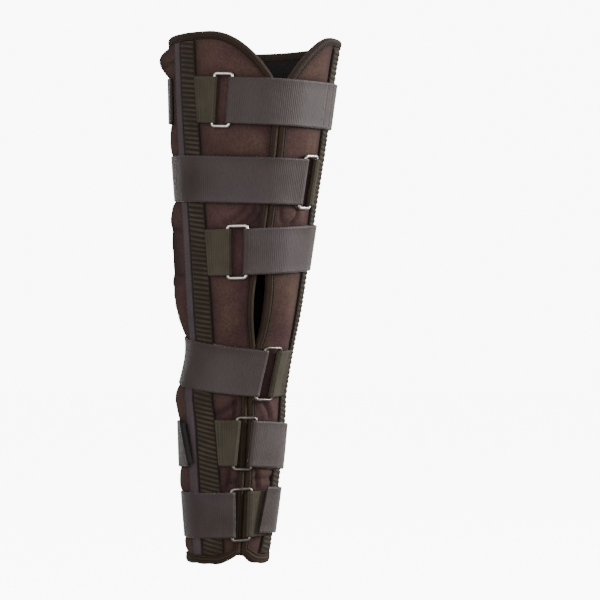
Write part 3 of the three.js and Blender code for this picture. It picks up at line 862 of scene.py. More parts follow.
def soft_noise(x: np.ndarray, y: np.ndarray, size: float, seed: int) -> np.ndarray:
    """Smooth seeded noise of about -1 to 1, with features of about a size."""
    draw = np.random.default_rng(seed)
    total = np.zeros(np.broadcast(x, y).shape)
    for _ in range(NOISE_WAVES):
        turn = draw.uniform(0, TURN)
        wave = TURN / (size * draw.uniform(*NOISE_STRETCH))
        total += np.sin(wave * (x * math.cos(turn) + y * math.sin(turn)) + draw.uniform(0, TURN))
    return total / math.sqrt(NOISE_WAVES / 2) / NOISE_PEAK


@dataclass(frozen=True)
class Unevenness:
    """Soft noise of one kind: its depth, the size of its features and its seed."""

    depth: float
    size: float
    seed: int

    def at(self, x: np.ndarray, y: np.ndarray) -> np.ndarray:
        """Return its height at places."""
        return self.depth * soft_noise(x, y, self.size, self.seed)


@dataclass(frozen=True)
class Fade:
    """Something that is full beside an edge and dies away from it, over a reach."""

    full: float
    reach: float

    def at(self, distance: np.ndarray) -> np.ndarray:
        """Return its share at distances; inside the edge it is full."""
        return self.full * np.exp(-np.maximum(0, distance) / self.reach)


def finish_piece(piece: bpy.types.Object, nodes: Iterable[str]) -> bpy.types.Object:
    """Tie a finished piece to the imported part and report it.

    Args:
        piece: The piece, in place.
        nodes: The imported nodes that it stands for.

    Returns:
        The same piece.
    """
    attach(piece, BODY)
    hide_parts(*nodes)
    LOG.info("%s: %d faces", piece.name, len(piece.data.polygons))
    return piece


def placed(name: str, data: bpy.types.ID) -> bpy.types.Object:
    """Put a new object with this data into the scene."""
    thing = bpy.data.objects.new(name, data)
    bpy.context.scene.collection.objects.link(thing)
    return thing


def deselect() -> None:
    """Leave nothing selected."""
    for other in bpy.context.view_layer.objects.selected:
        other.select_set(False)


@dataclass
class Loft:
    """A closed body lofted through sections that have an outer and an inner edge."""

    name: str
    outer: np.ndarray
    inner: np.ndarray
    along: np.ndarray
    across: np.ndarray
    material: bpy.types.Material
    lining: bpy.types.Material | None = None
    numbers: dict[str, np.ndarray] = field(default_factory=dict)
    sharp_degrees: float = 50.0

    def faces(self) -> tuple[np.ndarray, np.ndarray]:
        """Return the quads and the material of each."""
        count, edge = self.outer.shape[:2]
        ring = 2 * edge
        here = np.arange(count - 1)[:, None] * ring
        step = np.arange(ring)[None, :]
        beside = (step + 1) % ring
        quads = np.stack([here + step, here + beside, here + ring + beside, here + ring + step], -1)
        lined = np.broadcast_to(step >= edge, quads.shape[:2]).reshape(-1)
        low = np.arange(edge - 1)
        cap = np.stack([low, ring - 1 - low, ring - 2 - low, low + 1], -1)
        end = (count - 1) * ring
        far = np.stack([low, low + 1, ring - 2 - low, ring - 1 - low], -1) + end
        quads = np.concatenate([quads.reshape(-1, 4), cap, far])
        return quads, np.concatenate([lined, np.zeros(2 * len(low), bool)])

    def build(self) -> bpy.types.Object:
        """Make the object, facing outwards, with its map and numbers."""
        loops = np.concatenate([self.outer, self.inner[:, ::-1]], axis=1)
        points = loops.reshape(-1, 3)
        quads, lined = self.faces()
        first, second, third, fourth = points[quads].swapaxes(0, 1)
        normals = np.cross(second, third) + np.cross(third, fourth)
        if np.einsum("ij,ij->", first, normals) < 0:
            quads = quads[:, ::-1]
        mesh = bpy.data.meshes.new(self.name)
        mesh.from_pydata((points * MM).tolist(), [], quads.tolist())
        mesh.materials.append(self.material)
        if self.lining:
            mesh.materials.append(self.lining)
            mesh.polygons.foreach_set("material_index", lined.astype(np.int32))
        flat = [np.concatenate([part, part[:, ::-1]], axis=1) for part in (self.along, self.across)]
        places = np.stack(flat, axis=-1).reshape(-1, 2) / MM_PER_CM
        layer = mesh.uv_layers.new(name="UVMap")
        layer.data.foreach_set("uv", places[quads.reshape(-1)].reshape(-1).astype(np.float32))
        for name, values in self.numbers.items():
            both = np.concatenate([values, np.zeros_like(values)], axis=1)
            attribute = mesh.attributes.new(name, "FLOAT", "POINT")
            attribute.data.foreach_set("value", both.reshape(-1).astype(np.float32))
        mesh.polygons.foreach_set("use_smooth", np.ones(len(quads), bool))
        piece = placed(self.name, mesh)
        deselect()
        piece.select_set(True)
        bpy.context.view_layer.objects.active = piece
        bpy.ops.object.shade_smooth_by_angle(angle=math.radians(self.sharp_degrees))
        return piece


def along_path(stops: np.ndarray, travel: np.ndarray, path: np.ndarray) -> np.ndarray:
    """Return the vectors of a path at stops along its travel."""
    return np.stack([np.interp(stops, travel, column) for column in path.T], -1)


@dataclass(frozen=True)
class Stitching:
    """Rows of short raised stitches, each a closed spindle of thread."""

    pitch: float = 3.4
    length: float = 2.3
    width: float = 0.5
    sides: int = 5
    shoulder: float = 0.32
    probe: float = 0.5

    def template(self) -> tuple[np.ndarray, list[list[int]]]:
        """Return one stitch's points, along, beside and out of the cloth, and its faces."""
        turns = np.arange(self.sides) * TURN / self.sides
        ring = np.stack([np.zeros(self.sides), np.cos(turns), np.sin(turns)], -1) * self.width / 2
        reach = np.array([self.length, 0, 0])
        points = [ring - reach * self.shoulder, ring + reach * self.shoulder]
        points.append(np.array([-reach / 2, reach / 2]))
        tail, head = 2 * self.sides, 2 * self.sides + 1
        faces = []
        for side in range(self.sides):
            beside = (side + 1) % self.sides
            faces.append([side, beside, self.sides + beside, self.sides + side])
            faces.append([beside, side, tail])
            faces.append([self.sides + side, self.sides + beside, head])
        return np.concatenate(points), faces

    def build(
        self, name: str, rows: Sequence[tuple[np.ndarray, np.ndarray]], material: bpy.types.Material
    ) -> bpy.types.Object:
        """Sew along rows.

        Args:
            name: The new piece's name.
            rows: For each row, its points and the directions out of the cloth there.
            material: The thread.

        Returns:
            One object that holds every stitch.
        """
        shape, shape_faces = self.template()
        points, faces = [], []
        for path, normals in rows:
            travel = run_length(path)
            stops = np.arange(self.pitch / 2, travel[-1], self.pitch)
            centre = along_path(stops, travel, path)
            out = unit(along_path(stops, travel, normals))
            ahead = along_path(stops + self.probe, travel, path)
            run = unit(ahead - along_path(stops - self.probe, travel, path))
            beside = unit(np.cross(out, run))
            axes = np.stack([run, beside, np.cross(run, beside)], axis=1)
            for place, turn in zip(centre, axes):
                base = len(points) * len(shape)
                points.append(place + shape @ turn)
                faces.extend([[base + corner for corner in face] for face in shape_faces])
        mesh = bpy.data.meshes.new(name)
        mesh.from_pydata((np.concatenate(points) * MM).tolist(), [], faces)
        mesh.materials.append(material)
        mesh.polygons.foreach_set("use_smooth", np.ones(len(faces), bool))
        return placed(name, mesh)


CREASE_PLACES = 15


@dataclass(frozen=True)
class Crease:
    """A crease of the padding, from arc and height to arc and height, bowed to one side."""

    start: tuple[float, float]
    end: tuple[float, float]
    bow: float
    width: float
    depth: float

    def distance(self, arc: np.ndarray, height: np.ndarray) -> np.ndarray:
        """Distance from the crease's line, growing past its ends."""
        start, end = np.array(self.start), np.array(self.end)
        run = end - start
        aside = np.array([-run[1], run[0]]) / np.linalg.norm(run)
        nearest = np.full(np.broadcast(arc, height).shape, np.inf)
        for t in np.linspace(0, 1, CREASE_PLACES):
            place = start + run * t + aside * self.bow * 4 * t * (1 - t)
            nearest = np.minimum(nearest, np.hypot(arc - place[0], height - place[1]))
        return nearest


CREASES = (
    Crease((-44, 90), (-24, 107), -3, 3.0, 1.7),
    Crease((-34, 87), (-14, 105), -3, 2.8, 1.6),
    Crease((-23, 86), (-9, 99), -2, 2.2, 1.2),
    Crease((36, 107), (22, 86), 4, 3.0, 2.4),
    Crease((14, 105), (20, 87), -2, 2.4, 1.3),
    Crease((-46, -108), (-14, -94), -3, 3.0, 1.6),
    Crease((-12, -90), (-15, -112), 0, 2.6, 1.8),
    Crease((14, -90), (26, -112), 3, 3.0, 2.0),
    Crease((-17, -162), (-21, -186), 2, 3.2, 2.2),
    Crease((12, -162), (14, -186), 1, 2.6, 1.8),
    Crease((-14, -176), (34, -173), 2, 3.0, 1.6),
    Crease((-150, 10), (-128, 22), 3, 3.2, 1.4),
    Crease((-156, -6), (-132, 2), 3, 3.0, 1.2),
    Crease((-160, 252), (-120, 250), 4, 3.0, 1.6),
)


@dataclass
class Panel:
    """One padded panel between two of the sleeve's lines."""

    name: str
    node: str
    start: Callable[[np.ndarray], np.ndarray]
    end: Callable[[np.ndarray], np.ndarray]
    columns: int
    rows: int = 190
    puff: float = 3.2
    seam_clear: float = 3.0
    opening_rise: float = 26.0
    casing_rise: float = 20.0
    tape_clear: float = 2.0
    stretch_clear: float = 2.0
    stretch_fullness: float = 0.4
    stretch_roundness: float = 0.75
    free_gain: float = 2.0
    pucker: Fade = Fade(0.75, 8.0)
    pucker_pitch: float = 14.0
    pucker_sway: Unevenness = Unevenness(2.5, 60, 3)
    dent: Unevenness = Unevenness(0.55, 42, 11)
    quilt: Unevenness = Unevenness(0.22, 13, 5)
    bulge_wave: Unevenness = Unevenness(0.06, 24, 8)
    lip: float = 0.45
    lip_offset: float = 1.9
    crease_core: float = 0.7
    crease_shade: float = 0.7
    # Painted shade beside the bindings, straps and casings: how dark at the edge, and over what reach
    # it fades.
    binding_press: Fade = Fade(0.75, 2.2)
    strap_press: Fade = Fade(0.65, 2.2)
    casing_press: Fade = Fade(0.8, 2.2)
    ruck: Unevenness = Unevenness(1.0, 9, 21)
    ruck_slant: float = 0.5
    ruck_shade: Fade = Fade(0.12, 7.0)
    slack_shade: float = 0.4
    slack_full: float = 6.0
    # Painted highlight: its share away from the crowns, and how fast the slack bulges darken it.
    bare_nap: float = 0.52
    bulge_shade: float = 11.0

    def grid(self) -> tuple[np.ndarray, np.ndarray]:
        """Return the angles and heights of the panel's places, by column and row."""
        across = np.linspace(0, 1, self.columns + 1)[:, None]
        up = np.linspace(0, 1, self.rows + 1)[None, :]
        height = mix(-SLEEVE.knee_height, SLEEVE.length - SLEEVE.knee_height, up) + 0 * across
        for _ in range(SETTLING_ROUNDS):
            angle = mix(self.start(height), self.end(height), across)
            settled = mix(SLEEVE.bottom_rim(angle), SLEEVE.top_rim(angle), up)
            height = (height + settled) / 2
        return mix(self.start(height), self.end(height), across), height

    def room(self, angle: np.ndarray, height: np.ndarray) -> np.ndarray:
        """Share of its puff that the padding has, away from seams and the opening."""
        clear = BINDING_LIP + self.seam_clear
        arc = np.abs(SLEEVE.from_opening(angle, height))
        room = smoothstep(arc, clear, clear + self.opening_rise)
        for side in Side:
            turn = near_angle(angle - SLEEVE.casing_angle(side, height))
            behind = side.value * turn * SLEEVE.radius(height)
            taped = CASING_WIDTH / 2 + TAPE_WIDTH + self.tape_clear
            reach = np.where(behind > 0, taped, CASING_WIDTH / 2)
            room = room * smoothstep(np.abs(behind), reach, reach + self.casing_rise)
        return room

    def pinch(self, angle: np.ndarray, height: np.ndarray, near_strap: np.ndarray) -> np.ndarray:
        """Share of painted shade that the nap takes beside straps, casings and bindings."""
        arc = np.abs(SLEEVE.from_opening(angle, height))
        pinch = self.binding_press.at(arc - BINDING_LIP)
        pinch = np.maximum(pinch, self.strap_press.at(near_strap))
        for side in Side:
            behind = np.abs(near_angle(angle - SLEEVE.casing_angle(side, height)))
            beside = behind * SLEEVE.radius(height) - CASING_WIDTH / 2
            pinch = np.maximum(pinch, self.casing_press.at(beside))
        return pinch

    def stretches(self, angle: np.ndarray, height: np.ndarray) -> tuple[np.ndarray, np.ndarray]:
        """Return the puff's share between the straps, and the distance to the nearest strap."""
        puff = np.zeros_like(height)
        nearest = np.full_like(height, np.inf)
        clear = BINDING_LIP + self.stretch_clear
        floor = SLEEVE.bottom_rim(angle) + clear
        ceilings = [SLEEVE.strap_height(row, angle) for row in STRAPS]
        ceilings.append(SLEEVE.top_rim(angle) - clear + STRAP_WIDTH / 2)
        for index, centre in enumerate(ceilings):
            ceiling = centre - STRAP_WIDTH / 2
            t = np.clip((height - floor) / np.maximum(ceiling - floor, 1), 0, 1)
            room = np.minimum(1, np.maximum(ceiling - floor, 0) / STRAP_WIDTH)
            rise = np.sin(math.pi * t) ** self.stretch_roundness
            puff = np.maximum(puff, rise * room**self.stretch_fullness)
            if index < len(STRAPS):
                nearest = np.minimum(nearest, np.abs(np.abs(height - centre) - STRAP_WIDTH / 2))
            floor = centre + STRAP_WIDTH / 2
        return puff, nearest

    def build(self, finish: bpy.types.Material, lining: bpy.types.Material) -> bpy.types.Object:
        """Make the panel, crowned between its seams, puckered at the straps and creased."""
        angle, height = self.grid()
        arc = SLEEVE.from_opening(angle, height)
        around = near_angle(angle - math.pi) * SLEEVE.radius(height)
        room = self.room(angle, height)
        puff, near_strap = self.stretches(angle, height)
        free = np.minimum(1, puff * self.free_gain)
        crown = puff * room
        sway = self.pucker_sway.at(around, height)
        ripple = np.sin(TURN * around / self.pucker_pitch + sway)
        lift = self.puff * crown
        lift = lift + self.pucker.at(near_strap) * ripple * room * free
        lift = lift + (self.dent.at(around, height) + self.quilt.at(around, height)) * crown
        # Painted shade, gathered into one number: darkening in the creases, beside the trim, in the
        # rucks by the straps and on the slack bulges.
        fold = np.zeros_like(lift)
        for crease in CREASES:
            away = crease.distance(arc, height) / crease.width
            lips = self.lip * np.exp(-((away - self.lip_offset) ** 2))
            lift = lift - crease.depth * (np.exp(-(away**2)) - lips) * free
            core = np.exp(-((away / self.crease_core) ** 2))
            fold = np.maximum(fold, core * free * self.crease_shade)
        fold = np.maximum(fold, self.pinch(angle, height, near_strap))
        ruck = np.clip(self.ruck.at(arc + self.ruck_slant * height, 0 * height), 0, 1)
        fold = np.maximum(fold, self.ruck_shade.at(near_strap) * ruck * free)
        bulge = SLEEVE.bulge(angle, height)
        fold = np.maximum(fold, self.slack_shade * np.clip(bulge / self.slack_full, 0, 1))
        bulge = bulge * (1 + self.bulge_wave.at(around, height))
        outer = SLEEVE.point(angle, height, lift + bulge)
        inner = SLEEVE.point(angle, height, bulge - SLEEVE.panel)
        along = run_length(outer[:, self.rows // 2])[:, None] + 0 * height
        # Painted highlight: lighter on the crowns of the puffs, from a floor elsewhere, and darker on
        # the slack bulges.
        painted_highlight = np.clip(self.bare_nap + (1 - self.bare_nap) * crown - bulge / self.bulge_shade, 0, 1)
        numbers = {"crown": painted_highlight, "fold": fold}
        loft = Loft(self.name, outer, inner, along, height, finish, lining, numbers)
        piece = finish_piece(loft.build(), [f"{self.node}_{part}" for part in PANEL_PARTS])
        return piece


PANEL_PARTS = ("lower", "middle", "upper")
HALF_SEAM = SLEEVE.panel_seam / 2
BACK_COLUMNS = 112
FRONT_COLUMNS = {Side.LEFT: 38, Side.RIGHT: 32}


def panels() -> list[Panel]:
    """Return the sleeve's three panels."""
    found = [
        Panel(
            "back_panel",
            "panel_back",
            lambda height: SLEEVE.beside_casing(Side.RIGHT, height, HALF_SEAM),
            lambda height: SLEEVE.beside_casing(Side.LEFT, height, HALF_SEAM) + TURN,
            columns=BACK_COLUMNS,
        )
    ]
    for side, columns in FRONT_COLUMNS.items():
        label = side.name.lower()
        found.append(
            Panel(
                f"front_panel_{label}",
                f"panel_front_{label}",
                lambda height, side=side: SLEEVE.beside_casing(side, height, -HALF_SEAM),
                lambda height, side=side: SLEEVE.opening_edge(side, height, EDGE_INSET),
                columns=columns,
            )
        )
    return found


@dataclass(frozen=True)
class SectionPoint:
    """One place across a strip: where it is, how full it is, and its share of the ribs."""

    across: float
    fullness: float
    rib: float = 0.0


CASING_SECTION = (
    SectionPoint(-1.0, 0.16),
    SectionPoint(-0.98, 0.3),
    SectionPoint(-0.95, 0.55, 0.4),
    SectionPoint(-0.87, 0.83, 0.9),
    SectionPoint(-0.62, 0.95, 1.0),
    SectionPoint(-0.3, 0.99, 1.0),
    SectionPoint(0.0, 1.0, 1.0),
    SectionPoint(0.3, 0.99, 1.0),
    SectionPoint(0.6, 0.95, 1.0),
    SectionPoint(0.78, 0.83, 0.9),
    SectionPoint(0.86, 0.55, 0.4),
    SectionPoint(0.9, 0.22),
    SectionPoint(0.94, 0.3),
    SectionPoint(0.98, 0.27),
    SectionPoint(1.0, 0.16),
)
TAPE_SECTION = (
    SectionPoint(-1.0, 0.35),
    SectionPoint(-0.96, 0.85),
    SectionPoint(-0.84, 1.0),
    SectionPoint(-0.74, 0.62),
    SectionPoint(-0.6, 0.95),
    SectionPoint(0.0, 1.0),
    SectionPoint(0.6, 0.95),
    SectionPoint(0.74, 0.62),
    SectionPoint(0.84, 1.0),
    SectionPoint(0.96, 0.85),
    SectionPoint(1.0, 0.35),
)


CASING_ROWS = 1040
CASING_SEAM = 0.96
RIB_DEPTH = 0.8
TAPE_ROWS = 220
TAPE_SEAM = 0.76


@dataclass
class Strip:
    """A strip that runs down the sleeve beside a casing's line."""

    name: str
    node: str
    slot: str
    side: Side
    offset: float
    width: float
    thickness: float
    section: tuple[SectionPoint, ...]
    rows: int
    stitch_at: float
    rib_pitch: float = 4.9
    rib_depth: float = 0.0
    rib_sharpness: float = 0.8
    rib_slant: float = 0.28
    calf_slant: float = 0.62
    calf_start: float = -60.0
    calf_end: float = 160.0
    waver: Unevenness = Unevenness(0.16, 30, 4)
    waver_spread: float = 5.0
    end_fullness: float = 0.55
    end_taper: float = 5.0
    under_share: float = 0.6
    seam_lift: float = 0.05

    def places(self, across: float) -> tuple[np.ndarray, np.ndarray]:
        """Return the angles and heights of the strip's line at a place across it."""
        up = np.linspace(0, 1, self.rows + 1)
        height = mix(-SLEEVE.knee_height, SLEEVE.length - SLEEVE.knee_height, up)
        aside = self.offset + across * self.width / 2
        for _ in range(SETTLING_ROUNDS):
            angle = SLEEVE.beside_casing(self.side, height, aside)
            low = SLEEVE.bottom_rim(angle) + RIM_BAND
            settled = mix(low, SLEEVE.top_rim(angle) - RIM_BAND, up)
            height = (height + settled) / 2
        return SLEEVE.beside_casing(self.side, height, aside), height

    def build(self, material: bpy.types.Material) -> bpy.types.Object:
        """Make the strip, with its ribs and its flat sewn edges."""
        outer, inner, heights, crests = [], [], [], []
        for point in self.section:
            angle, height = self.places(point.across)
            calf = smoothstep(-height, self.calf_start, self.calf_end)
            slant = mix(self.rib_slant, self.calf_slant, calf) * self.side.value * point.across
            waver = self.waver.at(0 * height + self.waver_spread * point.across, height)
            phase = height / self.rib_pitch + slant + waver
            wave = (1 + np.cos(TURN * phase)) / 2
            ends = np.minimum(height - height[0], height[-1] - height)
            taper = mix(self.end_fullness, 1, smoothstep(ends, 0, self.end_taper))
            depth = self.rib_depth * point.rib * (1 - wave**self.rib_sharpness)
            lift = BINDING_CLEARANCE + self.thickness * point.fullness * taper - depth
            outer.append(SLEEVE.point(angle, height, lift))
            inner.append(SLEEVE.point(angle, height, BINDING_CLEARANCE * self.under_share))
            heights.append(height)
            crests.append(wave * point.rib)
        stacked = [np.stack(part, axis=1) for part in (outer, inner, heights, crests)]
        aside = np.array([point.across * self.width / 2 for point in self.section])
        across = np.broadcast_to(aside, stacked[2].shape)
        # The crest number places the casing colour's painted highlight on the crests and its painted
        # shade in the grooves.
        numbers = {"crest": stacked[3]}
        loft = Loft(
            self.name, stacked[0], stacked[1], stacked[2], across, material, None, numbers
        )
        return finish_piece(loft.build(), [self.node])

    def seams(self) -> list[tuple[np.ndarray, np.ndarray]]:
        """Return the rows of stitches along both edges."""
        rows = []
        for across in (-self.stitch_at, self.stitch_at):
            angle, height = self.places(across)
            full = np.interp(
                across, [p.across for p in self.section], [p.fullness for p in self.section]
            )
            lift = BINDING_CLEARANCE + self.thickness * full
            path = SLEEVE.point(angle, height, lift + self.seam_lift)
            rows.append((path, path - SLEEVE.point(angle, height, 0 * height - NORMAL_REACH)))
        return rows


def strips() -> list[Strip]:
    """Return the casings and the flat tapes behind them."""
    found = []
    for side in Side:
        label = side.name.lower()
        casing = Strip(
            f"ribbed_casing_{label}", f"casing_{label}", "casing", side, 0, CASING_WIDTH,
            CASING_THICKNESS, CASING_SECTION, CASING_ROWS, CASING_SEAM, rib_depth=RIB_DEPTH,
        )
        tape = Strip(
            f"flat_tape_{label}", f"seam_tape_{label}", "tape", side, TAPE_OFFSET, TAPE_WIDTH,
            TAPE_THICKNESS, TAPE_SECTION, TAPE_ROWS, TAPE_SEAM,
        )
        found.extend([casing, tape])
    return found


@dataclass(frozen=True)
class FoldPoint:
    """One place across a binding's front: its depth from the edge, its height off the tape."""

    depth: float
    rise: float


STITCH_GROOVE = 4.9
BINDING_FRONT = (
    FoldPoint(BINDING_LIP, -0.65),
    FoldPoint(6.5, 0.0),
    FoldPoint(5.9, 0.25),
    FoldPoint(5.2, -0.15),
    FoldPoint(STITCH_GROOVE, -0.25),
    FoldPoint(4.6, -0.15),
    FoldPoint(4.0, 0.4),
    FoldPoint(2.8, 0.55),
    FoldPoint(1.3, 0.35),
    FoldPoint(0.1, -0.15),
    FoldPoint(-1.0, -1.1),
)
BINDING_BACK = (
    FoldPoint(-1.0, 1.1),
    FoldPoint(0.1, 0.0),
    FoldPoint(4.0, 0.0),
    FoldPoint(BINDING_LIP, 0.65),
)


@dataclass
class Binding:
    """The folded tape over a half's rims and its edge of the opening."""

    side: Side
    step: float = 2.2
    spread: int = 170
    window: int = 7
    edge_round: float = 1.6
    back_round: float = 1.2
    lump: float = 2.4
    lump_noise: Unevenness = Unevenness(0.5, 16, 9)
    lump_start: float = 25.0
    lump_full: float = 12.0
    seam_lift: float = -0.1

    def path(self) -> tuple[np.ndarray, np.ndarray]:
        """Return the angles and heights of the bound edge, from the back over the top and down."""
        lip = BINDING_LIP
        top = SLEEVE.length - SLEEVE.knee_height
        edge_top = self._corner(SLEEVE.top_rim, top - SLEEVE.notch_depth)
        edge_low = self._corner(SLEEVE.bottom_rim, -SLEEVE.knee_height + SLEEVE.bottom_notch)
        back = self.side.value * math.pi
        upper = np.linspace(back, edge_top[0], self.spread)
        lower = np.linspace(edge_low[0], back, self.spread)
        down = np.arange(edge_top[1] - lip / 3, edge_low[1] + lip / 3, -self.step)
        angles = [upper, SLEEVE.opening_edge(self.side, down, EDGE_INSET), lower]
        heights = [SLEEVE.top_rim(upper), down, SLEEVE.bottom_rim(lower)]
        return np.concatenate(angles), np.concatenate(heights)

    def _corner(self, rim: Callable, guess: float) -> tuple[float, float]:
        """Find where a rim meets the edge of the opening."""
        height = guess
        for _ in range(SETTLING_ROUNDS):
            height = (height + float(rim(SLEEVE.opening_edge(self.side, height, EDGE_INSET)))) / 2
        return float(SLEEVE.opening_edge(self.side, height, EDGE_INSET)), height

    def inward(self, angle: np.ndarray, height: np.ndarray) -> np.ndarray:
        """Return directions from the edge into the cloth, as arc and height."""
        flat = np.stack([angle * SLEEVE.radius(height), height], -1)
        run = np.gradient(flat, axis=0)
        count = 2 * self.window + 1
        padded = np.pad(unit(run), ((self.window, self.window), (0, 0)), mode="edge")
        kernel = np.ones(count) / count
        smooth = np.stack([np.convolve(padded[:, k], kernel, "valid") for k in range(2)], -1)
        run = unit(smooth)
        return np.stack([-self.side.value * run[:, 1], self.side.value * run[:, 0]], -1)

    def profile(self) -> tuple[np.ndarray, np.ndarray]:
        """Return the outer and inner edges of the tape's turn, as depth and lift."""
        gap = BINDING_CLEARANCE
        full = gap + BINDING_THICKNESS
        under = -SLEEVE.panel
        front = [(point.depth, full + point.rise) for point in BINDING_FRONT]
        edge = [(-full, -self.edge_round), (-full, under / 2), (-full, under + self.back_round)]
        behind = [(point.depth, under - full + point.rise) for point in BINDING_BACK]
        outer = np.array(front + edge + behind)
        inner = outer.copy()
        inner[:, 0] = np.maximum(outer[:, 0], -gap)
        inner[:, 1] = np.clip(outer[:, 1], under - gap, gap)
        return outer, inner

    def sweep(self, profile: np.ndarray) -> np.ndarray:
        """Place one profile at every stop of the path."""
        angle, height = self.path()
        inward = self.inward(angle, height)
        radius = SLEEVE.radius(height)[:, None]
        trim = np.zeros(len(angle))
        trim[[0, -1]] = -self.side.value * HALF_SEAM / radius[[0, -1], 0]
        turned = angle[:, None] + trim[:, None] + inward[:, :1] * profile[None, :, 0] / radius
        raised = height[:, None] + inward[:, 1:] * profile[None, :, 0]
        foot = SLEEVE.knee_height
        low = smoothstep(-height, foot - self.lump_start, foot - self.lump_full)
        lumps = self.lump * (0.5 + self.lump_noise.at(angle * radius[:, 0], 0 * height)) * low
        raised = raised - lumps[:, None] * np.clip(1 - profile[None, :, 0] / BINDING_LIP, 0, 1)
        return SLEEVE.point(turned, raised, profile[None, :, 1])

    def build(self, material: bpy.types.Material) -> bpy.types.Object:
        """Make the binding."""
        outer_profile, inner_profile = self.profile()
        outer, inner = self.sweep(outer_profile), self.sweep(inner_profile)
        along = run_length(outer[:, len(outer_profile) // 2])[:, None] + 0 * outer[..., 0]
        across = run_length(outer_profile)[None, :] + 0 * outer[..., 0]
        label = self.side.name.lower()
        loft = Loft(f"edge_binding_{label}", outer, inner, along, across, material)
        return finish_piece(loft.build(), [f"binding_{label}"])

    def seam(self) -> tuple[np.ndarray, np.ndarray]:
        """Return the row of stitches in the binding's groove."""
        full = BINDING_CLEARANCE + BINDING_THICKNESS
        ends = [[STITCH_GROOVE, full + self.seam_lift], [STITCH_GROOVE, full + NORMAL_REACH]]
        low, high = self.sweep(np.array(ends)).swapaxes(0, 1)
        return low, high - low


# How a strap climbs onto what lies under it, in millimetres
SEAT_GAP = 0.5
LAYER_GAP = 0.6
RAMP_SLOPE = 0.25
RAMP_PAD = 4.0
OPENING_COVER = 26.0
STAND_OFF_SLOPE = 0.4
RISE_REACH = 3.0
ASKEW_REACH = 30.0
TAB_REACH = 37.0
HOOK_LENGTH = 20.0
HOOK_THICKNESS = 1.0
HOOK_MARGIN = 3.0
RING_WIDTH = 21.5
RING_WIRE = 3.5
RING_PLAY = 1.2
RING_CORNER = 3.0
BAR_CLEARANCE = 0.3
SEWN_PLACES = 24


def bridge(distance: np.ndarray, reach: float, height: float) -> np.ndarray:
    """Lift that falls off to both sides of what a strap climbs over."""
    return height - RAMP_SLOPE * np.maximum(0, np.abs(distance) - reach)


def seat_lift(angle: np.ndarray, height: float) -> np.ndarray:
    """Lift of a strap's under face over the sleeve and the bindings of the opening."""
    top = BINDING_CLEARANCE + BINDING_THICKNESS + LAYER_GAP
    return np.maximum(SEAT_GAP, bridge(SLEEVE.from_opening(angle, height), OPENING_COVER, top))


def trim_lift(lines: np.ndarray) -> np.ndarray:
    """Lift over the casings and tapes under both edges of the lines across a strap."""
    lift = np.full(len(lines), SEAT_GAP)
    casing_top = BINDING_CLEARANCE + CASING_THICKNESS + LAYER_GAP
    tape_top = BINDING_CLEARANCE + TAPE_THICKNESS + LAYER_GAP
    for edge in (0, 1):
        angle, height = lines[:, edge, 0], lines[:, edge, 1]
        for side in Side:
            turn = near_angle(angle - SLEEVE.casing_angle(side, height))
            casing = turn * SLEEVE.radius(height)
            tape = casing - side.value * TAPE_OFFSET
            lift = np.maximum(lift, bridge(casing, CASING_WIDTH / 2 + RAMP_PAD, casing_top))
            lift = np.maximum(lift, bridge(tape, TAPE_WIDTH / 2 + RAMP_PAD, tape_top))
    return lift


def lines_across(
    angle: np.ndarray, height: np.ndarray, slope: np.ndarray, radius: float
) -> np.ndarray:
    """Return lines square to a strap's run.

    Args:
        angle: Angles of the lines' middles.
        height: Heights of their middles.
        slope: How steeply the strap climbs there.
        radius: The strap's radius.

    Returns:
        For each line, its low and high end as angle and height.
    """
    angle, height, slope = np.broadcast_arrays(np.atleast_1d(angle), height, slope)
    half = STRAP_WIDTH / 2
    low = np.stack([angle + slope * half / radius, height - half], -1)
    high = np.stack([angle - slope * half / radius, height + half], -1)
    return np.stack([low, high], 1)


@dataclass(frozen=True)
class RingPlace:
    """What a strap's ring settles: its place, slope and lift, and its two bars' angles."""

    angle: float
    height: float
    slope: float
    lift: float
    seat: float
    radius: float
    casing_edge: float
    tab_bar: float
    strap_bar: float

    def bar_line(self, bar: float) -> np.ndarray:
        """Return the line of one of the bars."""
        across = (bar - self.angle) * self.radius
        return lines_across(bar, self.height + self.slope * across, self.slope, self.radius)[0]


@dataclass
class Ribbon:
    """A run of webbing: its lines across, and shift and lift of both faces at each."""

    lines: list[np.ndarray] = field(default_factory=list)
    first: list[np.ndarray] = field(default_factory=list)
    second: list[np.ndarray] = field(default_factory=list)

    def layer(self, lines: np.ndarray, first: np.ndarray, second: np.ndarray) -> None:
        """Add a flat run whose faces lie at these lifts."""
        self.lines.extend(lines)
        self.first.extend(np.stack([0 * first, first], -1))
        self.second.extend(np.stack([0 * second, second], -1))

    def turn(self, line: np.ndarray, lift: float, side: float, steps: int) -> None:
        """Add the turn round a ring's bar."""
        near = RING_WIRE / 2 + BAR_CLEARANCE
        for step in range(1, steps):
            turn = math.pi * (step / steps - 0.5)
            way = np.array([side * math.cos(turn), math.sin(turn)])
            self.lines.append(line)
            self.first.append(way * (near + STRAP_THICKNESS) + [0, lift])
            self.second.append(way * near + [0, lift])


@dataclass(frozen=True)
class WebbingPoint:
    """One place across a webbing: its share of the width, and how full the cloth is."""

    share: float
    fullness: float


WEBBING_SECTION = (
    WebbingPoint(0.0, 0.3),
    WebbingPoint(0.008, 0.75),
    WebbingPoint(0.02, 1.08),
    WebbingPoint(0.045, 1.08),
    WebbingPoint(0.06, 0.92),
    WebbingPoint(0.2, 1.0),
    WebbingPoint(0.35, 1.0),
    WebbingPoint(0.5, 1.0),
    WebbingPoint(0.65, 1.0),
    WebbingPoint(0.8, 1.0),
    WebbingPoint(0.94, 0.92),
    WebbingPoint(0.955, 1.08),
    WebbingPoint(0.98, 1.08),
    WebbingPoint(0.992, 0.75),
    WebbingPoint(1.0, 0.3),
)


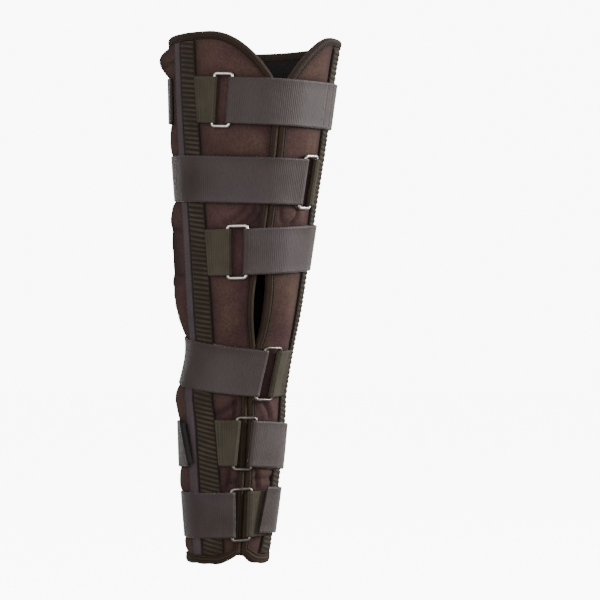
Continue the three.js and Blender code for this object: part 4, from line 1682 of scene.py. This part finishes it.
def sewn_line(line: np.ndarray, top: float, margin: float) -> tuple[np.ndarray, np.ndarray]:
    """Return a row of stitches along a line across a strap.

    Args:
        line: The line's low and high end as angle and height.
        top: Lift of the cloth there.
        margin: Share of the line that is left free at each end.

    Returns:
        The row's points and the directions out of the cloth.
    """
    share = np.linspace(margin, 1 - margin, SEWN_PLACES)
    turned, height = mix(line[0, 0], line[1, 0], share), mix(line[0, 1], line[1, 1], share)
    path = SLEEVE.point(turned, height, top)
    return path, SLEEVE.point(turned, height, top + NORMAL_REACH) - path


@dataclass
class Strap:
    """One strap with its tab, its ring and its hook patch."""

    row: StrapRow
    station: float = 1.1
    rib_relief: float = 0.055
    tab_relief: float = 0.1
    tab_ruffle: float = 0.35
    ruffle_pitch: float = 4.6
    ruffle_edge: int = 8
    ribbed_from: float = 0.9
    turn_steps: int = 14
    smoothing: int = 6
    fewest_stations: int = 6
    bar_easing: int = 12
    hook_columns: int = 31
    hook_root: float = 0.72
    seam_margin: float = 0.07
    tab_margin: float = 0.06
    tab_stations: tuple[int, int] = (3, 6)

    def __post_init__(self) -> None:
        """Settle the ring's place."""
        row = self.row
        centre = SLEEVE.strap_centre(row)
        radius = float(SLEEVE.radius(centre))
        offset = (RING_WIDTH - RING_WIRE) / 2 / radius
        edge = float(SLEEVE.beside_casing(row.ring, centre, -CASING_WIDTH / 2))
        angle = edge - row.ring.value * row.reach * TAB_REACH / radius
        tab_bar = angle + row.ring.value * offset
        strap_bar = angle - row.ring.value * offset
        seat = float(max(seat_lift(tab_bar, centre), seat_lift(strap_bar, centre)))
        lift = seat + STRAP_THICKNESS + BAR_CLEARANCE + RING_WIRE / 2
        height = float(SLEEVE.strap_height(row, angle))
        slope = float(self.slope(angle))
        self.centre = centre
        self.away = -row.ring.value
        self.place = RingPlace(angle, height, slope, lift, seat, radius, edge, tab_bar, strap_bar)

    def risen(self, angle: np.ndarray) -> np.ndarray:
        """Height of the strap's middle, with its free end's rise."""
        left = self.away * (math.radians(self.row.end) - angle) * self.place.radius
        near = np.maximum(0, 1 - left / (RISE_REACH * HOOK_LENGTH))
        return SLEEVE.strap_height(self.row, angle) + self.row.end_rise * near**2

    def slope(self, angle: np.ndarray, height_at: Callable | None = None) -> np.ndarray:
        """How steeply the strap climbs at an angle."""
        find = height_at or (lambda turned: SLEEVE.strap_height(self.row, turned))
        probe = 1 / float(SLEEVE.radius(SLEEVE.strap_centre(self.row)))
        return (find(angle + probe) - find(angle - probe)) / 2

    def casing_line(self, side: int) -> np.ndarray:
        """Return the line along a casing's edge where the strap is sewn down."""
        which = Side(side)
        angle = SLEEVE.casing_angle(which, self.centre)
        height = SLEEVE.strap_height(self.row, angle)
        line = lines_across(angle, height, self.slope(angle), self.place.radius)[0]
        clear = CASING_WIDTH / 2 + TRIM_GAP
        line[:, 0] = SLEEVE.beside_casing(which, line[:, 1], -clear)
        return line

    def run_of(self, start: np.ndarray, end: np.ndarray) -> tuple[np.ndarray, np.ndarray]:
        """Return lines from one to another, a station apart, and their shares of the way."""
        reach = np.abs(end[:, 0] - start[:, 0]).mean() * self.place.radius
        share = np.linspace(0, 1, max(self.fewest_stations, int(reach / self.station)) + 1)
        return mix(start[None], end[None], share[:, None, None]), share

    def smooth(self, lift: np.ndarray) -> np.ndarray:
        """Ease the kinks of a run's lift, keeping its ends."""
        count = 2 * self.smoothing + 1
        padded = np.pad(lift, self.smoothing, mode="reflect", reflect_type="odd")
        return np.convolve(padded, np.ones(count) / count, "valid")

    def tab_run(self) -> Ribbon:
        """Return the tab's run: out under the ring's bar and back over it."""
        place = self.place
        start, bar = self.casing_line(self.row.ring.value), place.bar_line(place.tab_bar)
        lines, share = self.run_of(start, bar)
        angle = mix(start[:, 0].mean(), place.tab_bar, share)
        distance = (angle - place.tab_bar) * place.radius
        under = np.maximum(seat_lift(angle, self.centre), bridge(distance, 0, place.seat))
        bar_top = place.lift + RING_WIRE / 2 + BAR_CLEARANCE
        layer = STRAP_THICKNESS + LAYER_GAP
        over = np.maximum(under + layer, bar_top - STAND_OFF_SLOPE * np.abs(distance))
        ribbon = Ribbon()
        ribbon.layer(lines, under, under + STRAP_THICKNESS)
        ribbon.turn(bar, place.lift, self.away, self.turn_steps)
        over = self.smooth(over)[::-1]
        ribbon.layer(lines[::-1], over + STRAP_THICKNESS, over)
        return ribbon

    def outer_lift(self, angle: np.ndarray, lines: np.ndarray, start: float) -> np.ndarray:
        """Lift of the strap's outer layer over all that lies under it.

        Args:
            angle: Angles of the stations.
            lines: Their lines across.
            start: Angle where the strap is sewn down.

        Returns:
            The under face's lift at each station.
        """
        place = self.place
        layer = STRAP_THICKNESS + LAYER_GAP
        clipped = np.clip(angle, -abs(start), abs(start))
        from_bar = (clipped - place.strap_bar) * place.radius
        inner = np.maximum(seat_lift(clipped, self.centre), bridge(from_bar, 0, place.seat))
        past = np.maximum(0, self.away * (angle - start)) * place.radius
        middle = (place.tab_bar + place.casing_edge) / 2
        over_tab = near_angle(angle - middle) * place.radius
        tab_half = abs(place.tab_bar - place.casing_edge) * place.radius / 2
        bar_top = place.lift + RING_WIRE / 2 + BAR_CLEARANCE
        lift = np.maximum(
            trim_lift(lines), bridge(over_tab, tab_half + RAMP_PAD, place.seat + 2 * layer)
        )
        lift = np.maximum(lift, bridge((angle - place.strap_bar) * place.radius, 0, bar_top))
        lift = np.maximum(lift, inner + layer - RAMP_SLOPE * np.maximum(0, past - RAMP_PAD))
        left = self.away * (math.radians(self.row.end) - angle) * place.radius
        patch = bridge(left, HOOK_LENGTH + 2 * RAMP_PAD, HOOK_THICKNESS + LAYER_GAP)
        lift = lift + np.maximum(0, patch)
        return np.maximum(lift, self.row.stand_off - STAND_OFF_SLOPE * left)

    def strap_run(self) -> tuple[Ribbon, int]:
        """Return the strap's run, and the station where its outer layer begins."""
        place = self.place
        start, bar = self.casing_line(self.away), place.bar_line(place.strap_bar)
        start_angle = float(start[:, 0].mean())
        lines, share = self.run_of(start, bar)
        angle = mix(start_angle, place.strap_bar, share)
        distance = (angle - place.strap_bar) * place.radius
        under = np.maximum(seat_lift(angle, self.centre), bridge(distance, 0, place.seat))
        ribbon = Ribbon()
        ribbon.layer(lines, under, under + STRAP_THICKNESS)
        ribbon.turn(bar, place.lift, -self.away, self.turn_steps)
        begin = len(ribbon.lines)
        end = math.radians(self.row.end)
        count = int(abs(end - place.strap_bar) * place.radius / self.station)
        angle = np.linspace(place.strap_bar, end, count + 1)
        slope = self.slope(angle, self.risen)
        outer = lines_across(angle, self.risen(angle), slope, place.radius)
        eased = smoothstep(np.arange(count + 1), 0, self.bar_easing)[:, None, None]
        outer = mix(outer - outer[0] + bar, outer, eased)
        left = self.away * (end - angle) * place.radius
        askew = self.away * self.row.askew * smoothstep(-left, -ASKEW_REACH, 0) / place.radius
        outer[:, :, 0] += askew[:, None] * np.array([1.0, -1.0])
        lift = self.smooth(self.outer_lift(angle, outer, start_angle))
        ribbon.layer(outer, lift + STRAP_THICKNESS, lift)
        return ribbon, begin

    def weave(
        self,
        name: str,
        ribbon: Ribbon,
        relief: float,
        material: bpy.types.Material,
        ruffle: float = 0.0,
    ) -> bpy.types.Object:
        """Make webbing from a run.

        Args:
            name: The new piece's name.
            ribbon: Its run.
            relief: Height of its ribs.
            material: Its cloth.
            ruffle: How far its edges wave.

        Returns:
            The piece.
        """
        lines = np.array(ribbon.lines)
        first, second = np.array(ribbon.first), np.array(ribbon.second)
        share = np.array([point.share for point in WEBBING_SECTION])
        full = np.array([point.fullness for point in WEBBING_SECTION])
        middle = (first + second) / 2
        ribs = relief * 2 / STRAP_THICKNESS * (np.arange(len(lines)) % 2)[:, None]
        half = full[None, :] * (1 + ribs * (full[None, :] >= self.ribbed_from))
        angle = mix(lines[:, :1, 0], lines[:, 1:, 0], share[None, :])
        height = mix(lines[:, :1, 1], lines[:, 1:, 1], share[None, :])
        centre = SLEEVE.point(angle, height, middle[:, 1:])[:, len(share) // 2]
        along = run_length(centre)
        edge = np.abs(share * 2 - 1) ** self.ruffle_edge * np.sign(share - 0.5)
        height = height + ruffle * np.sin(TURN * along / self.ruffle_pitch)[:, None] * edge
        radius = SLEEVE.radius(height)
        faces = []
        for face in (first, second):
            offset = middle[:, None] + (face - middle)[:, None] * half[..., None]
            faces.append(SLEEVE.point(angle + offset[..., 0] / radius, height, offset[..., 1]))
        run = run_length((faces[0][:, len(share) // 2] + faces[1][:, len(share) // 2]) / 2)
        grid = [run[:, None] + 0 * half, share[None, :] * STRAP_WIDTH + 0 * half]
        return Loft(name, faces[0], faces[1], *grid, material).build()

    def build(self, finishes: dict[str, bpy.types.Material]) -> list[bpy.types.Object]:
        """Make the strap, its tab and its hook patch."""
        name = self.row.name
        ribbon, begin = self.strap_run()
        strap = self.weave(f"webbing_strap_{name}", ribbon, self.rib_relief, finishes["webbing"])
        tab = self.weave(
            f"elastic_tab_{name}", self.tab_run(), self.tab_relief, finishes["tab"], self.tab_ruffle
        )
        self.outer_lines = np.array(ribbon.lines)[begin:]
        self.outer_tops = np.array(ribbon.first)[begin:, 1]
        return [
            finish_piece(strap, [f"strap_{name}"]),
            finish_piece(tab, [f"tab_{name}"]),
            self.hook_patch(ribbon, finishes["hook_field"]),
        ]

    def hook_patch(self, ribbon: Ribbon, material: bpy.types.Material) -> bpy.types.Object:
        """Make the hook patch under the strap's free end, run on past the end as a painted shadow
        where the row gives a reach.
        """
        count = int(HOOK_LENGTH / self.station)
        lines = np.array(ribbon.lines)[-count:]
        top = np.array(ribbon.second)[-count:, 1] - BAR_CLEARANCE
        # Painted shadow: the dark field runs on past the strap's end, where the raised flap's shadow
        # falls.
        more = np.arange(1, int(self.row.hook_over / self.station) + 1)
        lines = np.concatenate([lines, lines[-1] + more[:, None, None] * (lines[-1] - lines[-2])])
        top = np.concatenate([top, top[-1] + 0.0 * more])
        count = len(lines)
        inset = HOOK_MARGIN / STRAP_WIDTH
        share = np.linspace(inset, 1 - inset, self.hook_columns)
        angle = mix(lines[:, :1, 0], lines[:, 1:, 0], share[None, :])
        height = mix(lines[:, :1, 1], lines[:, 1:, 1], share[None, :])
        tooth = (np.arange(count)[:, None] + np.arange(len(share))[None, :]) % 2
        depth = HOOK_THICKNESS * mix(self.hook_root, 1, tooth)
        outer = SLEEVE.point(angle, height, top[:, None] - depth)
        inner = SLEEVE.point(angle, height, top[:, None] + 0 * angle)
        along = run_length(outer[:, 0])[:, None] + 0 * angle
        across = share[None, :] * STRAP_WIDTH + 0 * angle
        loft = Loft(f"hook_field_{self.row.name}", outer, inner, along, across, material)
        return finish_piece(loft.build(), [f"hook_patch_{self.row.name}"])

    def cross_seam(self, angle: float, off: float = 0.0) -> tuple[np.ndarray, np.ndarray]:
        """Return a row of stitches across the outer layer, near an angle."""
        middles = self.outer_lines[:, :, 0].mean(axis=1) + off / self.place.radius
        index = int(np.argmin(np.abs(middles - angle)))
        top = self.outer_tops[index] + self.rib_relief
        return sewn_line(self.outer_lines[index], top, self.seam_margin)

    def tab_seams(self) -> list[tuple[np.ndarray, np.ndarray]]:
        """Return the two rows of stitches that hold the tab's base."""
        ribbon = self.tab_run()
        rows = []
        for back in self.tab_stations:
            top = ribbon.first[-back][1] + self.tab_relief
            rows.append(sewn_line(ribbon.lines[-back], top, self.tab_margin))
        return rows


@dataclass
class Ring:
    """A rectangle of bent wire, seated flat on the curved sleeve."""

    strap: Strap
    corner_steps: int = 8
    wire_sides: int = 14
    side_cuts: int = 10

    def build(self, material: bpy.types.Material) -> bpy.types.Object:
        """Bend a torus to a rectangle, then to the sleeve."""
        steps = 4 * self.corner_steps
        half_width = (RING_WIDTH - RING_WIRE) / 2 - RING_CORNER
        half_height = STRAP_WIDTH / 2 + RING_PLAY + RING_WIRE / 2 - RING_CORNER
        deselect()
        bpy.ops.mesh.primitive_torus_add(
            major_radius=RING_CORNER * MM,
            minor_radius=RING_WIRE / 2 * MM,
            major_segments=steps,
            minor_segments=self.wire_sides,
            rotation=(0, 0, math.pi / steps),
        )
        ring = bpy.context.active_object
        ring.name = ring.data.name = f"wire_ring_{self.strap.row.name}"
        bpy.ops.object.transform_apply(location=True, rotation=True, scale=True)
        for axis, reach in ((0, half_width), (1, half_height)):
            for way in (-1, 1):
                self.pick_vertices(ring, lambda place: place[axis] * way > 0)
                shift = [0.0, 0.0, 0.0]
                shift[axis] = way * reach * MM
                bpy.ops.transform.translate(value=shift)
                bpy.ops.object.mode_set(mode="OBJECT")
        self.cut_long_edges(ring)
        bent = np.array([vertex.co for vertex in ring.data.vertices]) / MM
        seated = self.seat(bent)
        ring.data.vertices.foreach_set("co", (seated * MM).reshape(-1))
        ring.data.materials.append(material)
        bpy.ops.object.shade_smooth()
        return finish_piece(ring, [f"ring_{self.strap.row.name}"])

    def pick_vertices(self, ring: bpy.types.Object, wanted: Callable[[Vector], bool]) -> None:
        """Enter edit mode with only the wanted vertices selected."""
        bpy.ops.object.mode_set(mode="EDIT")
        bpy.ops.mesh.select_mode(type="VERT")
        bpy.ops.mesh.select_all(action="DESELECT")
        bpy.ops.object.mode_set(mode="OBJECT")
        for vertex in ring.data.vertices:
            vertex.select = wanted(vertex.co)
        bpy.ops.object.mode_set(mode="EDIT")

    def cut_long_edges(self, ring: bpy.types.Object) -> None:
        """Cut the straight sides into short lengths, so that they can bend."""
        bpy.ops.object.mode_set(mode="EDIT")
        bpy.ops.mesh.select_mode(type="EDGE")
        bpy.ops.mesh.select_all(action="DESELECT")
        bpy.ops.object.mode_set(mode="OBJECT")
        for edge in ring.data.edges:
            ends = [ring.data.vertices[index].co for index in edge.vertices]
            edge.select = (ends[0] - ends[1]).length > RING_CORNER * MM
        bpy.ops.object.mode_set(mode="EDIT")
        bpy.ops.mesh.subdivide(number_cuts=self.side_cuts)
        bpy.ops.object.mode_set(mode="OBJECT")

    def seat(self, points: np.ndarray) -> np.ndarray:
        """Carry flat points, across, up and out, onto the sleeve."""
        place = self.strap.place
        across, up, out = points.T
        height = place.height + up + place.slope * across
        angle = place.angle + (across - place.slope * up) / place.radius
        return SLEEVE.point(angle, height, place.lift + out)


@dataclass(frozen=True)
class Lamp:
    """One soft square light: where it hangs in metres, its side and its power in watts."""

    name: str
    place: tuple[float, float, float]
    size: float
    power: float


LAMPS = (
    Lamp("key", (2.5, -0.7, 0.8), 1.1, 155),
    Lamp("front", (-0.7, -2.5, 0.1), 1.4, 40),
    Lamp("left", (-2.2, -1.5, 0.6), 1.2, 34),
    Lamp("rim", (-2.1, -0.1, 1.2), 1.0, 8),
    Lamp("top", (0.3, 0.6, 2.6), 1.4, 26),
)


@dataclass(frozen=True)
class Studio:
    """The pale floor and backdrop, the soft lights and the camera."""

    azimuth: float = -19.0
    elevation: float = 1.2
    distance: float = 2.8
    aim: tuple[float, float, float] = (0.0590, -0.0203, 0.0104)
    lens: float = 161.5
    sensor: float = 36.0
    floor: float = -0.47
    backdrop: Colour = (250, 250, 250)
    glow: float = 9.0
    room: float = 7.0
    air: float = 0.34
    paper_roughness: float = 0.9

    def camera(self) -> None:
        """Place the camera."""
        turn, rise = math.radians(self.azimuth), math.radians(self.elevation)
        back = Vector(
            (math.sin(turn) * math.cos(rise), -math.cos(turn) * math.cos(rise), math.sin(rise))
        )
        data = bpy.data.cameras.new("camera")
        data.lens = self.lens
        data.sensor_width = self.sensor
        camera = placed("camera", data)
        camera.location = Vector(self.aim) + back * self.distance
        camera.rotation_euler = back.to_track_quat("Z", "Y").to_euler()
        bpy.context.scene.camera = camera

    def hang(self, lamp: Lamp) -> None:
        """Hang a lamp so that it faces the sleeve."""
        data = bpy.data.lights.new(lamp.name, "AREA")
        data.size = lamp.size
        data.energy = lamp.power
        light = placed(lamp.name, data)
        light.location = lamp.place
        light.rotation_euler = Vector(lamp.place).to_track_quat("Z", "Y").to_euler()

    def build(self) -> None:
        """Set the stage."""
        self.camera()
        for lamp in LAMPS:
            self.hang(lamp)
        world = bpy.data.worlds.new("studio")
        world.use_nodes = True
        background = world.node_tree.nodes["Background"]
        background.inputs["Color"].default_value = linear(WHITE)
        background.inputs["Strength"].default_value = self.air
        bpy.context.scene.world = world
        tree = ShaderTree("pale_paper")
        tree.set(
            Base_Color=self.backdrop,
            Roughness=self.paper_roughness,
            Emission_Color=WHITE,
            Emission_Strength=self.glow,
        )
        deselect()
        bpy.ops.mesh.primitive_plane_add(size=2 * self.room, location=(0, 0, self.floor))
        self.screen("studio_floor", tree.material)
        bpy.ops.mesh.primitive_uv_sphere_add(radius=self.room, location=(0, 0, 0))
        self.screen("studio_dome", tree.material)

    def screen(self, name: str, material: bpy.types.Material) -> None:
        """Make the new primitive a screen that is seen but throws no light on the object."""
        screen = bpy.context.active_object
        screen.name = name
        screen.data.materials.append(material)
        screen.visible_diffuse = False
        screen.visible_glossy = False
        screen.visible_shadow = False


FINISHES = (
    VelourFinish(),
    WovenFinish("lining", (24, 21, 22), (44, 40, 40), 7.0, 7.0),
    WovenFinish(
        "binding", (24, 17, 12), (60, 46, 34), 9.0, 9.0, roughness=0.6, lines=(0.0, 0.22, 0.52)
    ),
    WovenFinish(
        "tape", (46, 38, 41), (88, 75, 78), 11.0, 4.0, roughness=0.5, lines=(-0.7, 0.7), line_width=0.1
    ),
    WovenFinish(
        "webbing", (27, 20, 17), (63, 49, 43), 4.55, 9.0, roughness=0.55, sheen=0.32,
        cast=(58, 49, 55), specular=0.29,
    ),
    WovenFinish("tab", (33, 30, 24), (80, 73, 61), 4.55, 6.0, relief=0.0006),
    RibbedFinish(),
    HookFinish(),
    WireFinish(),
    # Painted shade: a darker copy of the nickel wire for the lower rings, which lie in shade.
    WireFinish("shaded_wire", bright=(142, 132, 124), dull=(84, 77, 72)),
    ThreadFinish("dark_thread", (22, 19, 17), (48, 44, 41)),
    ThreadFinish("grey_thread", (112, 106, 106), (150, 144, 142)),
)

# The rings that take the painted-shade copy of the wire.
SHADED_RINGS = ("4", "5", "6")
CROSS_SEAMS = {"1": (44.0, 52.0), "2": (-91.0, -86.0)}
SEAM_STEP = 2.4
TAB_STITCH = 3.0
STRAP_STITCH = 2.6


def build_sleeve(finishes: dict[str, bpy.types.Material]) -> None:
    """Build the panels, casings, tapes and bindings, with their stitches."""
    for panel in panels():
        panel.build(finishes["velour"], finishes["lining"])
    rows = []
    for strip in strips():
        finish = "ribbed_casing" if strip.slot == "casing" else "tape"
        strip.build(finishes[finish])
        rows.extend(strip.seams())
    for side in Side:
        binding = Binding(side)
        binding.build(finishes["binding"])
        rows.append(binding.seam())
    sewing = Stitching().build("sleeve_stitches", rows, finishes["dark_thread"])
    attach(sewing, BODY)


def build_straps(finishes: dict[str, bpy.types.Material]) -> None:
    """Build the straps, tabs, hook patches and rings, with their stitches."""
    tab_rows, dark_rows, grey_rows = [], [], []
    for row in STRAPS:
        strap = Strap(row)
        strap.build(finishes)
        # The lower rings get the darker wire, which is painted shade.
        wire = "shaded_wire" if row.name in SHADED_RINGS else "nickel_wire"
        Ring(strap).build(finishes[wire])
        tab_rows.extend(strap.tab_seams())
        for place in CROSS_SEAMS.get(row.name, ()):
            dark_rows.append(strap.cross_seam(math.radians(place)))
            grey_rows.append(strap.cross_seam(math.radians(place), SEAM_STEP))
    sewing = Stitching(pitch=TAB_STITCH).build("tab_stitches", tab_rows, finishes["dark_thread"])
    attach(sewing, BODY)
    for name, rows in (("dark_thread", dark_rows), ("grey_thread", grey_rows)):
        sewing = Stitching(pitch=STRAP_STITCH).build(f"strap_stitches_{name}", rows, finishes[name])
        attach(sewing, BODY)


def main() -> None:
    """Build the object in order, then the stage."""
    logging.basicConfig(level=logging.INFO, format="%(name)s: %(message)s")
    deselect()
    made = {}
    for finish in FINISHES:
        made[finish.name] = finish.build()
    build_sleeve(made)
    build_straps(made)
    Studio().build()


if __name__ == "__main__":
    main()
